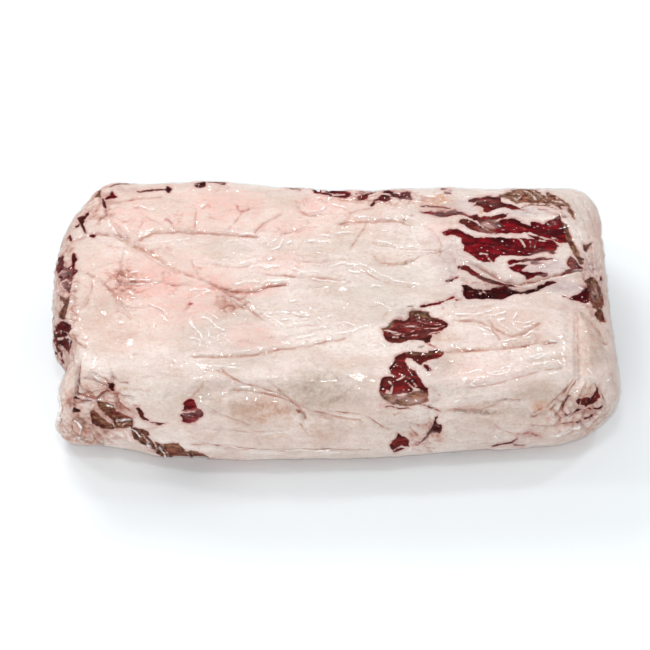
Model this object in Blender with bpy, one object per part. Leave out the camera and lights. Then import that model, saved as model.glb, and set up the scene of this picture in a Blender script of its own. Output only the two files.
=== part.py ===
"""Whole boneless beef ribeye in its shrunk clear bag, lying fat side up.

One closed solid: the bag clings to the meat all round, so bag and meat share one outer form.
Metres, +Z up. X runs along the muscle, -Y is the front wall, and the origin is on the floor
under the middle of the piece.
"""

import bmesh
import bpy
import numpy as np

MM = 0.001

# Driving sizes of the block before its sides swell
LENGTH = 440 * MM
WIDTH = 230 * MM
TOP_HEIGHT = 92 * MM
CROWN = 4 * MM
WAIST_HEIGHT = 38 * MM
UNDER_DEPTH = 47 * MM

# How far the shoulders round over, seen from above
ROUND_LEFT = 22 * MM
ROUND_RIGHT = 48 * MM
ROUND_FRONT = 40 * MM
ROUND_BACK = 36 * MM

# How far each side swells out (+) or draws in (-), in mm, at even steps along that side.
# Left and right run from front to back, front and back run from left to right.
SWELL_LEFT = (3, -1, -8, 4, 9, 10, 6, -7, -30)
SWELL_RIGHT = (-6, 2, 3, 2, 1, 1, 1, 2, 4)
SWELL_FRONT = (-9, -11, -1, 2, 2, 1, -3, -7, -10, -11)
SWELL_BACK = (8, 3, 5, 2, -2, -3, 0, -1, -1, 0)

# Rows of faces along X, Y and Z
ROWS = (62, 32, 13)

# Muscles that stand up under the fat: centre x, y, half length, half width, rise, all in mm
LOBES = (
    ("loin_end_lobe", 146, -54, 74, 46, 5.0),
    ("back_left_lobe", -120, 62, 70, 34, 2.5),
    ("middle_lobe", -20, 10, 90, 40, 2.0),
    ("front_lobe", -110, -52, 64, 36, 2.5),
)

# Long folds and cuts: depth and half width in mm, then the line that each follows
CREASES = (
    ("loin_seam", 5.0, 13, ((60, -30), (88, -19), (128, -10), (160, -4), (184, -8), (206, -24))),
    ("diagonal_fold", 2.5, 11, ((-192, 44), (-151, 22), (-118, 2), (-91, -11), (-63, -29), (-32, -51))),
    ("back_fold", 2.0, 11, ((-192, 42), (-137, 45), (-57, 42), (-2, 47), (51, 62))),
    ("front_fold", 3.0, 11, ((-99, -91), (-70, -89), (-32, -95), (-10, -102), (9, -111))),
    ("front_slit", 3.0, 10, ((82, -97), (79, -104), (74, -110), (56, -116))),
    ("lobe_edge", 2.5, 11, ((185, -24), (187, -52), (186, -80))),
    ("front_ledge", 1.5, 9, ((-82, -116), (-24, -118), (52, -116))),
)

# Places where the fat is trimmed away: centre x, y, half length, half width, depth, all in mm
TRIMMED = (
    ("back_right_trim", 142, 38, 50, 40, 3.5),
    ("middle_trim_upper", 60, -38, 20, 13, 4.0),
    ("middle_trim_lower", 56, -78, 18, 15, 4.0),
    ("front_left_gash", -150, -100, 44, 10, 6.0),
    ("front_window", -105, -104, 8, 8, 4.0),
    ("corner_window", 190, -92, 14, 10, 4.5),
    ("left_notch", -222, -34, 12, 16, 2.5),
    ("back_left_window", -186, 74, 14, 10, 4.0),
)


def along_side(position, values):
    """A smooth curve through evenly spaced values, read at positions from -1 to 1."""
    values = np.array(values, float) * MM
    last = len(values) - 1
    steps = (np.clip(position, -1, 1) + 1) / 2 * last
    first = np.clip(steps.astype(int), 0, last - 1)
    part = steps - first
    before = values[np.clip(first - 1, 0, last)]
    start = values[first]
    end = values[first + 1]
    after = values[np.clip(first + 2, 0, last)]
    linear = (end - before) * part
    square = (2 * before - 5 * start + 4 * end - after) * part**2
    cube = (3 * start - before - 3 * end + after) * part**3
    return start + (linear + square + cube) / 2


def rounded_block(unit):
    """Turns points on the cube from -1 to 1 into points on the bagged block."""
    x = unit[:, 0] * LENGTH / 2
    y = unit[:, 1] * WIDTH / 2
    upper = unit[:, 2] > 0
    round_x = np.where(x < 0, ROUND_LEFT, ROUND_RIGHT)
    round_y = np.where(y < 0, ROUND_FRONT, ROUND_BACK)
    round_z = np.where(upper, TOP_HEIGHT - WAIST_HEIGHT, UNDER_DEPTH)
    core_x = np.clip(x, round_x - LENGTH / 2, LENGTH / 2 - round_x)
    core_y = np.clip(y, round_y - WIDTH / 2, WIDTH / 2 - round_y)
    way = np.stack([(x - core_x) / round_x, (y - core_y) / round_y, unit[:, 2]], axis=1)
    way /= np.linalg.norm(way, axis=1)[:, None]
    x = core_x + round_x * way[:, 0]
    y = core_y + round_y * way[:, 1]
    z = WAIST_HEIGHT + round_z * way[:, 2]
    share_x = x / (LENGTH / 2)
    share_y = y / (WIDTH / 2)
    side_x = np.where(x < 0, -along_side(share_y, SWELL_LEFT), along_side(share_y, SWELL_RIGHT))
    side_y = np.where(y < 0, -along_side(share_x, SWELL_FRONT), along_side(share_x, SWELL_BACK))
    crown = np.clip(1 - share_x**2, 0, 1) * np.clip(1 - share_y**2, 0, 1)
    z += np.where(upper, CROWN * crown, 0)
    return np.stack([x + side_x * np.abs(share_x), y + side_y * np.abs(share_y), z], axis=1)


def centred(points):
    """The same points moved in plan so that their middle is over the origin."""
    middle = (points.min(axis=0) + points.max(axis=0)) / 2
    return points - middle * (1, 1, 0)


def bump(share):
    """1 at the middle of a feature, falling smoothly to 0 at share 1."""
    return np.clip(1 - share**2, 0, 1) ** 2


def distance_to_line(points, line):
    """Distance in plan from each point to a chain of straight runs."""
    nearest = np.full(len(points), np.inf)
    for start, end in zip(line[:-1], line[1:]):
        start = np.array(start) * MM
        run = np.array(end) * MM - start
        along = np.clip((points - start) @ run / (run @ run), 0, 1)
        nearest = np.minimum(nearest, np.linalg.norm(points - start - along[:, None] * run, axis=1))
    return nearest


def relief(points):
    """How far each point stands out from the plain block, with the underside left plain."""
    plan = points[:, :2]
    rise = np.zeros(len(points))
    for _, x, y, half_length, half_width, height in LOBES:
        share = np.hypot((plan[:, 0] - x * MM) / (half_length * MM), (plan[:, 1] - y * MM) / (half_width * MM))
        rise += height * MM * bump(share)
    for _, x, y, half_length, half_width, depth in TRIMMED:
        share = np.hypot((plan[:, 0] - x * MM) / (half_length * MM), (plan[:, 1] - y * MM) / (half_width * MM))
        rise -= depth * MM * bump(share)
    for _, depth, half_width, line in CREASES:
        rise -= depth * MM * bump(distance_to_line(plan, line) / (half_width * MM))
    above_waist = (points[:, 2] - WAIST_HEIGHT / 2) / WAIST_HEIGHT
    return rise * np.clip(above_waist, 0, 1)


def gridded_cube():
    """A cube from -1 to 1 whose faces hold the wanted rows along each axis."""
    body = bmesh.new()
    bmesh.ops.create_cube(body, size=2)
    for axis, rows in enumerate(ROWS):
        along = [e for e in body.edges if abs(e.verts[0].co[axis] - e.verts[1].co[axis]) > 1]
        bmesh.ops.subdivide_edges(body, edges=along, cuts=rows - 1, use_grid_fill=True)
    return body


def meat_material():
    """Cream fat with a pink cast under glossy film."""
    material = bpy.data.materials.new("bagged_fat")
    material.use_nodes = True
    shader = material.node_tree.nodes["Principled BSDF"]
    shader.inputs["Base Color"].default_value = (0.80, 0.58, 0.50, 1)
    shader.inputs["Roughness"].default_value = 0.22
    shader.inputs["Metallic"].default_value = 0
    return material


def bagged_ribeye():
    """The block with its muscles, folds and trimmed places, cut flat where it rests."""
    body = gridded_cube()
    body.verts.ensure_lookup_table()
    points = centred(rounded_block(np.array([v.co for v in body.verts])))
    for vertex, point in zip(body.verts, points):
        vertex.co = point
    body.normal_update()
    outward = np.array([v.normal for v in body.verts])
    points = centred(points + outward * relief(points)[:, None])
    for vertex, point in zip(body.verts, points):
        vertex.co = point
    whole = body.verts[:] + body.edges[:] + body.faces[:]
    cut = bmesh.ops.bisect_plane(body, geom=whole, plane_co=(0, 0, 0), plane_no=(0, 0, -1), clear_outer=True)
    rim = [e for e in cut["geom_cut"] if isinstance(e, bmesh.types.BMEdge)]
    bmesh.ops.contextual_create(body, geom=rim)
    bmesh.ops.recalc_face_normals(body, faces=body.faces[:])
    mesh = bpy.data.meshes.new("bagged_ribeye")
    body.to_mesh(mesh)
    body.free()
    mesh.shade_smooth()
    mesh.set_sharp_from_angle(angle=np.radians(50))
    mesh.materials.append(meat_material())
    return bpy.data.objects.new("bagged_ribeye", mesh)


for old in list(bpy.data.objects):
    bpy.data.objects.remove(old)
bpy.context.scene.collection.objects.link(bagged_ribeye())
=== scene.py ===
"""Looks of the whole boneless ribeye: red meat, its cap of fat and the clear bag shrunk round both.

Fat, meat and bag start from one gridded block. A place that is traced on the photograph is a pixel
of the 650 pixel frame: a point of the block takes it where the camera sees that point.
"""

import bmesh
import bpy
import numpy as np
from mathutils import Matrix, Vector


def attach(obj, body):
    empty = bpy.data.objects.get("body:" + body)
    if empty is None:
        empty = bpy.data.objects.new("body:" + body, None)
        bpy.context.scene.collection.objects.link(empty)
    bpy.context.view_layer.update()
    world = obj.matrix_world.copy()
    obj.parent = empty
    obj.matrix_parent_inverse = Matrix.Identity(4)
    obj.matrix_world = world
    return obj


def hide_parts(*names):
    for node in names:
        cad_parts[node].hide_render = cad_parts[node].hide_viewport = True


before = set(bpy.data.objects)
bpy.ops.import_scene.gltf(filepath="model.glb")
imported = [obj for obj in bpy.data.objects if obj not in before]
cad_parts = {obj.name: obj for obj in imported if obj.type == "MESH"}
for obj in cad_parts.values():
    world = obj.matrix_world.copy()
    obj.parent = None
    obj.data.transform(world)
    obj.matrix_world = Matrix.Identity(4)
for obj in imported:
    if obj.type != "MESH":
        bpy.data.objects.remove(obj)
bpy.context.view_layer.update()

MM = 0.001

# Camera, 60 degrees up from the front
VIEW_TILT = np.radians(30)
VIEW_DISTANCE = 1.24
VIEW_TARGET = np.array((-0.0057, -0.0077, 0.043))
VIEW_UP = np.array((0, np.cos(VIEW_TILT), np.sin(VIEW_TILT)))
VIEW_AHEAD = np.array((0, np.sin(VIEW_TILT), -np.cos(VIEW_TILT)))
VIEW_PLACE = VIEW_TARGET - VIEW_DISTANCE * VIEW_AHEAD
LENS_MM = 85
SENSOR_MM = 36
FRAME_PIXELS = 650
PIXELS_PER_MM = 1.24

# Block sizes, the same as the sealed part's
LENGTH = 440 * MM
WIDTH = 230 * MM
TOP_HEIGHT = 92 * MM
CROWN = 4 * MM
WAIST_HEIGHT = 38 * MM
UNDER_DEPTH = 47 * MM
ROUND_LEFT = 22 * MM
ROUND_RIGHT = 48 * MM
ROUND_FRONT = 40 * MM
ROUND_BACK = 36 * MM
SWELL_LEFT = (3, -1, -8, 4, 9, 10, 6, -7, -30)
SWELL_RIGHT = (-6, 2, 3, 2, 1, 1, 1, 2, 4)
SWELL_FRONT = (-9, -11, -1, 2, 2, 1, -3, -7, -10, -11)
SWELL_BACK = (8, 3, 5, 2, -2, -3, 0, -1, -1, 0)

# Rows of faces along X, Y and Z before any part is made finer
FAT_ROWS = (110, 60, 16)
MEAT_ROWS = (112, 60, 16)
BAG_ROWS = (120, 64, 16)

# How far fat, meat and bag lie from the block, and where each is cut flat underneath
MEAT_DEPTH = 1.1 * MM
FAT_DROP = 6 * MM
BAG_GAP = 0.7 * MM
FAT_FLOOR = 0.5 * MM
MEAT_FLOOR = 1.0 * MM
BAG_FLOOR = 0.0

# How far a line is looked for from its own box, and the distance given beyond that
REACH = 14
FAR = 1e3

# Distance in pixels given where no open meat is near, and how near a mark the fat is made finer
NO_MEAT = 30.0
MARK_REACH = 1.3

# Cut meat of the ends and the back: how far out it starts and the middle of its oval, in mm,
# then its shares of brown and dark
LEFT_MEAT_X = -214
LEFT_MEAT_Y = 4
LEFT_MEAT_Z = 38
RIGHT_MEAT_X = 214
RIGHT_MEAT_Y = -6
RIGHT_MEAT_Z = 27
BACK_MEAT_Y = 106
BACK_MEAT_Z = 34
END_BROWN = 0.3
END_DARK = 0.15

# Layers of smooth random values: size in mm along each axis, seed, and how far each reaches
PIXEL_WANDER_ACROSS = (((7, 5, 5), 61, 0.8), ((2.5, 2, 2), 62, 0.35))
PIXEL_WANDER_DOWN = (((7, 5, 5), 64, 0.8), ((2.5, 2, 2), 65, 0.35))
RAGGED_ENDS = (((12, 9, 7), 21, 6), ((4, 3, 3), 22, 2))
SOFT_LUMPS = (((30, 12, 12), 31, 0.85), ((10, 5, 5), 32, 0.56))
FIBRES = (((14, 1.8, 1.8), 34, 0.25), ((5, 2.5, 2.5), 35, 0.2))

# Depths in mm of the puckers and of the long folds that no line draws, and widths of a fold's sides
TUCK_DEPTH = 1.3
LONG_FOLD_DEPTH = 1.2
SHALLOW_SIDE = 1.3
STEEP_SIDE = 0.5

# Sharpest turn between faces that is shaded smooth
SMOOTH_ANGLE = np.radians(70)

# Muscles that stand up under the fat: centre x, y, half length, half width, rise, all in mm
LOBES = (
    ("loin_end_lobe", 146, -54, 74, 46, 5.0),
    ("back_left_lobe", -120, 62, 70, 34, 2.5),
    ("middle_lobe", -20, 10, 90, 40, 2.0),
    ("front_lobe", -110, -52, 64, 36, 2.5),
)

# Long folds of the whole block: depth and half width in mm, then the line in mm
CREASES = (
    ("loin_seam", 5.0, 13, ((60, -30), (88, -19), (128, -10), (160, -4), (184, -8), (206, -24))),
    ("diagonal_fold", 1.0, 11, ((-192, 44), (-151, 22), (-118, 2), (-91, -11), (-63, -29), (-32, -51))),
    ("back_fold", 1.0, 11, ((-192, 42), (-137, 45), (-57, 42), (-2, 47), (51, 62))),
    ("front_fold", 3.0, 11, ((-99, -91), (-70, -89), (-32, -95), (-10, -102), (9, -111))),
    ("front_slit", 3.0, 10, ((82, -97), (79, -104), (74, -110), (56, -116))),
    ("lobe_edge", 2.5, 11, ((185, -24), (187, -52), (186, -80))),
    ("front_ledge", 1.5, 9, ((-82, -116), (-24, -118), (52, -116))),
)

# Corners drawn out or in beyond the block: centre, reach and push in mm
CORNERS = (
    ("back_right", (216, 106, 62), (46, 34, 40), (3, 4, 4)),
    ("right_back", (224, 56, 40), (30, 44, 40), (1, 0, 0)),
    ("front_left_foot", (-222, -92, 2), (38, 38, 46), (-12, 2.5, 0)),
    ("front_left_side", (-222, -74, 46), (22, 34, 30), (10.5, 0, 0)),
    ("front_foot", (-156, -112, 4), (58, 30, 24), (0, -6, 0)),
    ("back_left", (-200, 88, 60), (34, 30, 40), (5, -3, -1)),
    ("left_middle", (-228, 22, 40), (20, 44, 34), (8, 0, 0)),
    ("left_waist", (-222, -34, 40), (20, 22, 34), (-3, 0, 0)),
    ("back_edge", (-110, 106, 84), (120, 36, 40), (0, 1, 2)),
)

# Places where no fat covers the meat. Share of brown, share of dark, then the outline in pixels
# The share of dark is darker meat and, in the deep gaps, painted shade
WINDOWS = (
    ("upper_streak", 0.1, 0.2, (
        (469, 201), (477, 198), (485, 196.5), (494, 196.5), (500, 198), (501, 202), (507, 203.5),
        (513, 206), (522, 210), (514, 209.5), (506, 208), (499, 208), (492, 210.5), (486, 212.5),
        (483, 211), (484, 208.5), (480, 206.5), (474, 205), (477, 203))),
    ("speckled_strip", 1.0, 0.0, (
        (497, 196.5), (503, 194.5), (508, 192.5), (514, 190.5), (520, 190), (531, 189.5), (537, 190.5),
        (540, 193.5), (545, 196), (547, 192.5), (552, 194), (557, 197), (562, 200), (568, 205), (571, 209),
        (573, 214), (575, 219), (572, 217), (569, 212), (567, 208), (562, 206.5), (556, 204), (549, 203.5),
        (541, 202.5), (532, 203), (524, 202.5), (517, 203), (512, 200.5), (507, 199), (501, 198.5))),
    ("left_streak", 0.1, 0.1, (
        (420, 213), (427, 212), (433, 213), (440, 212.5), (450, 211), (456, 211), (463, 213), (470, 216),
        (477, 216), (480, 218.5), (488, 217.5), (496, 216), (503, 214), (508, 215), (503, 218), (497, 220),
        (490, 220.5), (480, 220.5), (474, 221.5), (471, 219), (466, 216.5), (460, 215), (452, 215.5),
        (444, 217.5), (438, 216.5), (430, 214.5))),
    ("upper_main", 0.0, 0.1, (
        (494, 229), (497, 222), (501, 220), (508, 219), (514, 219), (520, 221), (526, 225), (531, 227),
        (530, 223), (536, 222), (541, 225), (548, 222), (554, 220), (557, 217), (559.5, 217), (561, 221),
        (563, 225), (566, 229), (567, 235), (570, 240), (566, 243), (558, 243.5), (551, 243), (545, 240),
        (538, 238), (531, 236.5), (527, 233.5), (520, 234), (511, 233), (503, 234.5), (497, 234.5),
        (492, 233))),
    ("lower_main", 0.0, 0.1, (
        (441, 233), (449, 231), (456, 229.5), (461, 231), (467, 234.5), (474, 236.5), (483, 237.5),
        (495, 237), (508, 238), (518, 239.5), (527, 239), (533, 237), (545, 239), (555, 241), (562, 244),
        (558, 247), (556, 249.5), (552, 251.5), (545, 251.5), (537, 253.5), (531, 255.5), (525, 256.5),
        (519, 256), (511, 255.5), (501, 256.5), (496, 258.5), (493, 261.5), (490, 258), (489, 261.5),
        (483, 262), (478, 260), (471, 254.5), (464, 251), (465, 246), (462, 243), (461, 237), (455, 236),
        (448, 235.5))),
    ("left_dark", 0.2, 0.2, (
        (457, 222), (463, 219), (470, 220.5), (478, 224.5), (485, 229), (491, 233.5), (484, 234),
        (476, 231.5), (468, 228), (461, 225))),
    ("left_muted", 0.3, 0.0, (
        (476, 220.5), (484, 219), (492, 220.5), (500, 223), (498, 230), (493, 233.5), (487, 229.5),
        (481, 225.5))),
    ("seam_muted", 0.1, 0.0, (
        (461, 266), (468, 267), (478, 274), (488, 279), (500, 281.5), (512, 285), (520, 289), (510, 287.5),
        (496, 285.5), (484, 282), (473, 275.5), (464, 270))),
    ("middle_upper_brown", 0.9, 0.2, (
        (409, 317), (409, 312), (413, 311), (421, 311), (425, 313), (428, 314), (431, 317), (436, 319),
        (430, 322), (420, 320), (414, 321))),
    ("middle_left_brown", 0.95, 0.2, (
        (380, 328.5), (384, 327), (388, 326), (391, 322), (394, 320), (401, 321), (404, 325), (398, 329),
        (390, 331), (383, 332))),
    ("middle_lower_brown", 0.8, 0.1, (
        (404, 353), (412, 352), (420, 352.5), (428, 354), (429, 351), (437, 350), (444, 352.5), (440, 356),
        (428, 357.5), (418, 357), (408, 356))),
    ("middle_fringe", 0.9, 0.0, (
        (380, 391), (388, 395), (396, 395.5), (404, 396.5), (412, 392), (420, 390), (428, 394), (428, 401),
        (420, 404), (410, 406), (400, 405), (390, 403.5), (383, 399))),
    ("right_oval", 0.0, 0.0, ((550, 251), (553, 251), (556, 253), (553, 254.5), (549, 253.5))),
    ("membrane_streak_1", 0.0, 0.0, (
        (508, 262), (512, 260.5), (520, 260.5), (530, 259.5), (540, 258), (546, 257.5), (552, 259.5),
        (545, 261), (535, 261.3), (527, 262), (520, 262.5), (514, 264), (509, 266))),
    ("membrane_streak_2", 0.0, 0.1, (
        (507, 267), (513, 266), (519, 265), (527, 265), (529, 266), (524, 268), (520, 270), (524, 271.5),
        (530, 273), (538, 272.5), (546, 274), (548, 276), (543, 277.5), (535, 277.5), (532, 279.5),
        (526, 280.5), (525, 277), (520, 273.5), (513, 270.5))),
    ("membrane_streak_3", 0.0, 0.0, ((531, 262.3), (537, 262), (540, 264), (536, 265.5), (531, 264.5))),
    ("seam_lens", 0.2, 0.5, ((490, 283), (495, 280.5), (500, 281), (503, 282.5), (499, 284), (494, 284))),
    ("dark_gap", 0.0, 1.0, (
        (462, 286), (468, 285), (473, 290), (478, 289), (484, 290), (492, 289), (500, 288.5), (504, 287),
        (508, 289), (513, 291), (520, 292), (527, 291), (533, 289.5), (540, 286.5), (546, 283.5),
        (551, 283), (557, 281.5), (549, 285.5), (541, 289.5), (536, 292), (530, 293.5), (522, 294),
        (514, 295), (508, 297), (504, 299), (497, 299.5), (488, 299), (479, 299.5), (470, 300), (466, 298),
        (463, 295), (464, 290))),
    ("right_muted", 0.15, 0.0, (
        (561, 275), (566, 270.5), (572, 269), (567, 265.5), (567, 260), (571, 256), (575, 261), (579, 265),
        (584, 266.5), (583, 271), (577, 271.5), (570, 273))),
    ("right_notch", 0.9, 0.2, ((583, 244), (586, 246), (591, 243), (590, 248), (586, 251.5), (584, 249))),
    ("right_edge_line", 0.9, 0.2, (
        (560, 221), (564, 223), (568, 228), (570, 235), (573, 242), (577, 249), (579, 256), (583, 259),
        (584, 264.5), (580, 264), (576, 258.5), (572, 251), (569, 244), (566, 240), (566, 233),
        (563, 227))),
    ("right_triangle", 0.0, 0.4, (
        (563, 297), (570, 297.5), (575, 296), (580, 294), (583, 290), (588, 287), (590, 290), (590, 302),
        (586, 304), (581, 301.5), (574, 300.3), (569, 299))),
    ("right_pocket", 0.7, 0.0, (
        (585, 281.5), (590, 277), (594, 278), (597, 282), (600, 286), (602, 293), (604, 300), (604, 305),
        (601, 309), (602, 314), (604, 322), (600, 323), (596, 318), (594, 313), (596, 310), (592, 307),
        (590, 303), (590, 297), (590, 290), (588, 285))),
    ("right_spot", 0.0, 0.2, ((600, 277), (602, 276.5), (601.5, 280), (599, 281))),
    ("middle_upper", 0.15, 0.1, (
        (380, 328.5), (384, 327), (388, 326), (391, 322), (394, 320), (400, 320), (406, 320), (409, 317),
        (409, 312), (413, 311), (421, 311), (425, 313), (428, 314), (431, 317), (436, 319), (442, 319),
        (446, 321), (447.5, 324), (446, 327), (443, 330), (440, 333), (437, 334), (432, 334.5), (431, 338),
        (430, 342), (427, 343), (424, 341), (418, 340), (410, 340), (404, 341), (398, 343), (391, 342.5),
        (385, 340), (383, 336), (383, 331))),
    ("middle_lower", 0.1, 0.15, (
        (395, 357), (398, 355), (404, 353), (412, 352), (420, 352.5), (428, 354), (429, 351), (437, 350),
        (444, 352.5), (442, 356.5), (437, 358.5), (429, 360), (424, 362), (420, 365), (416, 361.5),
        (411, 358.5), (406, 358), (404, 362), (408, 367), (414, 371), (419, 377), (423, 383), (427, 389),
        (428, 394), (424, 391), (419, 389), (414, 390), (408, 393), (400, 394.5), (392, 395), (390, 392),
        (388, 389), (386, 392), (380, 391), (380, 386), (381, 380), (385, 376.5), (391, 376), (396, 376.5),
        (391, 373), (388, 368), (392, 366), (394, 362))),
    ("middle_oval", 0.1, 0.2, ((423, 364), (427, 364), (430, 369), (432, 372), (428, 371), (425, 368))),
    ("front_slit_gap", 0.3, 1.0, (
        (437, 414), (436, 420), (437, 424), (441, 425), (442, 431), (440, 434), (437, 432), (433, 433),
        (430, 435), (425, 440), (420, 444), (413, 448), (420, 442.5), (425, 437), (430, 431), (433, 425),
        (435, 419))),
    ("front_window", 0.1, 0.1, (
        (398, 434), (402, 436), (406, 438), (409, 440), (408, 444), (409, 446), (405, 448), (400, 450),
        (395, 452), (392, 448), (390, 446), (392, 441), (396, 438))),
    ("gash_upper", 0.0, 0.0, (
        (183, 403), (186, 400), (190, 398), (194, 400), (196, 404), (197, 408), (193, 410.5), (188, 411.3),
        (182, 410.5), (185, 406))),
    ("gash_lower", 0.0, 0.0, (
        (187, 412.5), (193, 411.5), (198, 409), (203, 411), (202.5, 416), (199, 419), (194, 421.5),
        (188, 422.5), (182, 422), (183, 418), (180, 415), (184, 413))),
    ("left_strip_1", 0.78, 0.0, (
        (95, 401), (101, 402.5), (107, 403), (113, 405), (116, 411), (121, 413), (127, 415), (133, 417.5),
        (133.5, 424), (131, 428), (124, 428), (117, 429), (113, 424), (109, 419), (106, 414), (100, 409))),
    ("left_strip_2", 0.78, 0.0, (
        (90, 411), (94, 409.5), (97, 411), (100, 416), (104, 420), (108, 423), (113, 427), (118, 428.5),
        (112, 430), (106, 429.5), (100, 428.5), (95, 425.5), (92, 421), (90, 416))),
    ("left_strip_3", 0.78, 0.2, (
        (130, 427.5), (136, 427.5), (142, 428), (149.5, 431), (149.5, 434.5), (146, 435), (149, 439),
        (154, 445), (161, 450), (169, 456), (162, 456), (153, 449.5), (146, 446.5), (140, 441),
        (135, 437.5), (131.5, 433))),
    ("left_strip_4", 0.78, 0.0, (
        (155, 442.5), (163, 445), (171, 442.5), (177.5, 443), (183, 448), (187.5, 451.5), (192, 450.5),
        (199, 452.5), (205, 453.5), (210, 458), (212, 463), (200, 464), (185, 463), (168, 458),
        (160, 451))),
    ("left_dark_spot", 0.8, 0.8, ((73, 408), (80, 408.5), (80, 412), (77, 413), (72, 413))),
    ("left_red_bits", 0.2, 0.3, ((108, 383), (114, 385), (113, 388), (115, 391), (111, 392), (108, 389))),
    ("front_vein", 0.3, 0.4, (
        (136, 408), (139, 407), (142, 411), (144, 416), (150, 420.5), (160, 423), (167, 423), (160, 424.5),
        (150, 422), (143, 419), (140, 416), (138, 412))),
    ("front_vein_end", 0.5, 0.7, ((155, 423.5), (162, 423), (162, 425.5), (158, 425))),
    ("back_left_line", 0.2, 0.7, (
        (102, 198), (104, 200), (106, 206), (106, 211), (105, 209), (103, 204), (101.5, 201))),
    ("back_left_patch", 0.0, 0.1, (
        (105, 199), (107, 196), (110, 193), (113, 191), (115, 194), (117, 197), (111, 198), (106, 200))),
    ("back_left_corner", 0.9, 0.3, ((95, 196), (98, 193), (100, 190), (101, 197))),
    ("left_upper_gap", 0.3, 0.6, (
        (79, 218), (82, 217), (85, 216), (87, 213), (89, 210), (88, 216), (84, 220), (83, 225), (85.5, 229),
        (86, 234), (84, 232), (82, 227), (79, 221))),
    ("left_upper_bit", 0.0, 0.2, ((89, 236), (92, 234), (97, 233), (95, 235), (94, 237), (91, 237))),
    ("left_edge_bit", 0.3, 0.5, ((68, 240), (70, 235), (73, 241), (71, 242))),
    ("left_thin_gap", 0.4, 0.8, ((73.5, 229.5), (76, 227), (79, 224.5), (78, 227))),
    ("left_red_zone", 0.1, 0.3, (
        (57, 266), (59, 257), (63, 256), (64, 266), (67, 268), (72, 264), (71, 256), (73, 252), (77, 260),
        (74, 266), (77, 272), (73, 276), (72, 281), (71, 287), (70, 293), (66, 291), (62, 286), (60, 279),
        (57, 272))),
    ("left_brown_zone", 0.9, 0.3, (
        (58, 294), (63, 297), (66, 300), (70, 295), (69.5, 302), (68, 309), (66, 317), (63, 320), (60, 319),
        (58, 315), (61, 309), (64, 304), (60, 300))),
    ("left_red_window", 0.1, 0.4, (
        (56, 326), (60, 322), (64, 321), (68, 323), (72, 325), (70, 330), (68, 334), (65, 337), (62, 337),
        (57, 339), (55, 336))),
    ("left_low_window", 0.2, 0.6, (
        (56, 341), (62, 340), (67, 338.5), (69, 342), (69, 353), (66, 349), (62, 346), (57, 344))),
    ("back_red_strip", 0.0, 0.2, (
        (311, 189), (320, 189), (330, 190), (340, 191), (350, 192), (352, 196), (345, 197.5), (338, 197.3),
        (330, 196), (322, 194), (314, 192))),
    ("back_strip_2", 0.3, 0.2, (
        (356, 193.5), (362, 192.5), (368, 191.5), (373, 190), (377, 191), (373, 194), (368, 196),
        (366, 199), (360, 200), (357, 197))),
    ("back_strip_3", 0.1, 0.5, (
        (382, 193), (385, 190.5), (389, 190.5), (395, 193), (400, 195), (402, 191.5), (407, 191.5),
        (411, 193), (411, 197), (414, 199), (405, 199.3), (400, 198.5), (396, 196.5), (390, 194.5))),
    ("back_strip_4", 0.1, 0.5, (
        (375, 199.5), (378, 197.5), (383, 195.5), (389, 195), (391, 198), (388, 200), (380, 200.7))),
    ("back_strip_5", 0.3, 0.5, ((370, 205), (372, 202), (374, 200), (375.5, 203), (372, 207))),
    ("back_left_red", 0.0, 0.7, ((194, 186), (198, 184), (205, 182), (206, 186), (200, 187.3))),
    ("back_left_dot", 0.0, 0.5, ((165, 190), (167, 187), (172, 187.5), (171, 190), (170, 193), (167, 193))),
    ("corner_window", 0.2, 0.4, (
        (576, 400), (579, 398), (583, 397), (590, 397), (594, 395), (596, 390), (598, 388), (600, 392),
        (600, 397), (597, 400), (593, 404), (588, 406), (586, 408), (584, 405), (580, 405), (577, 403))),
    ("corner_gap", 0.1, 0.7, ((594, 409), (598, 407), (603, 405), (602, 407.5), (599, 409), (596, 410.3))),
    ("corner_gap_low", 0.2, 0.4, ((588, 416), (592, 415), (595, 414), (593, 418), (589, 418.5))),
)
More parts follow.
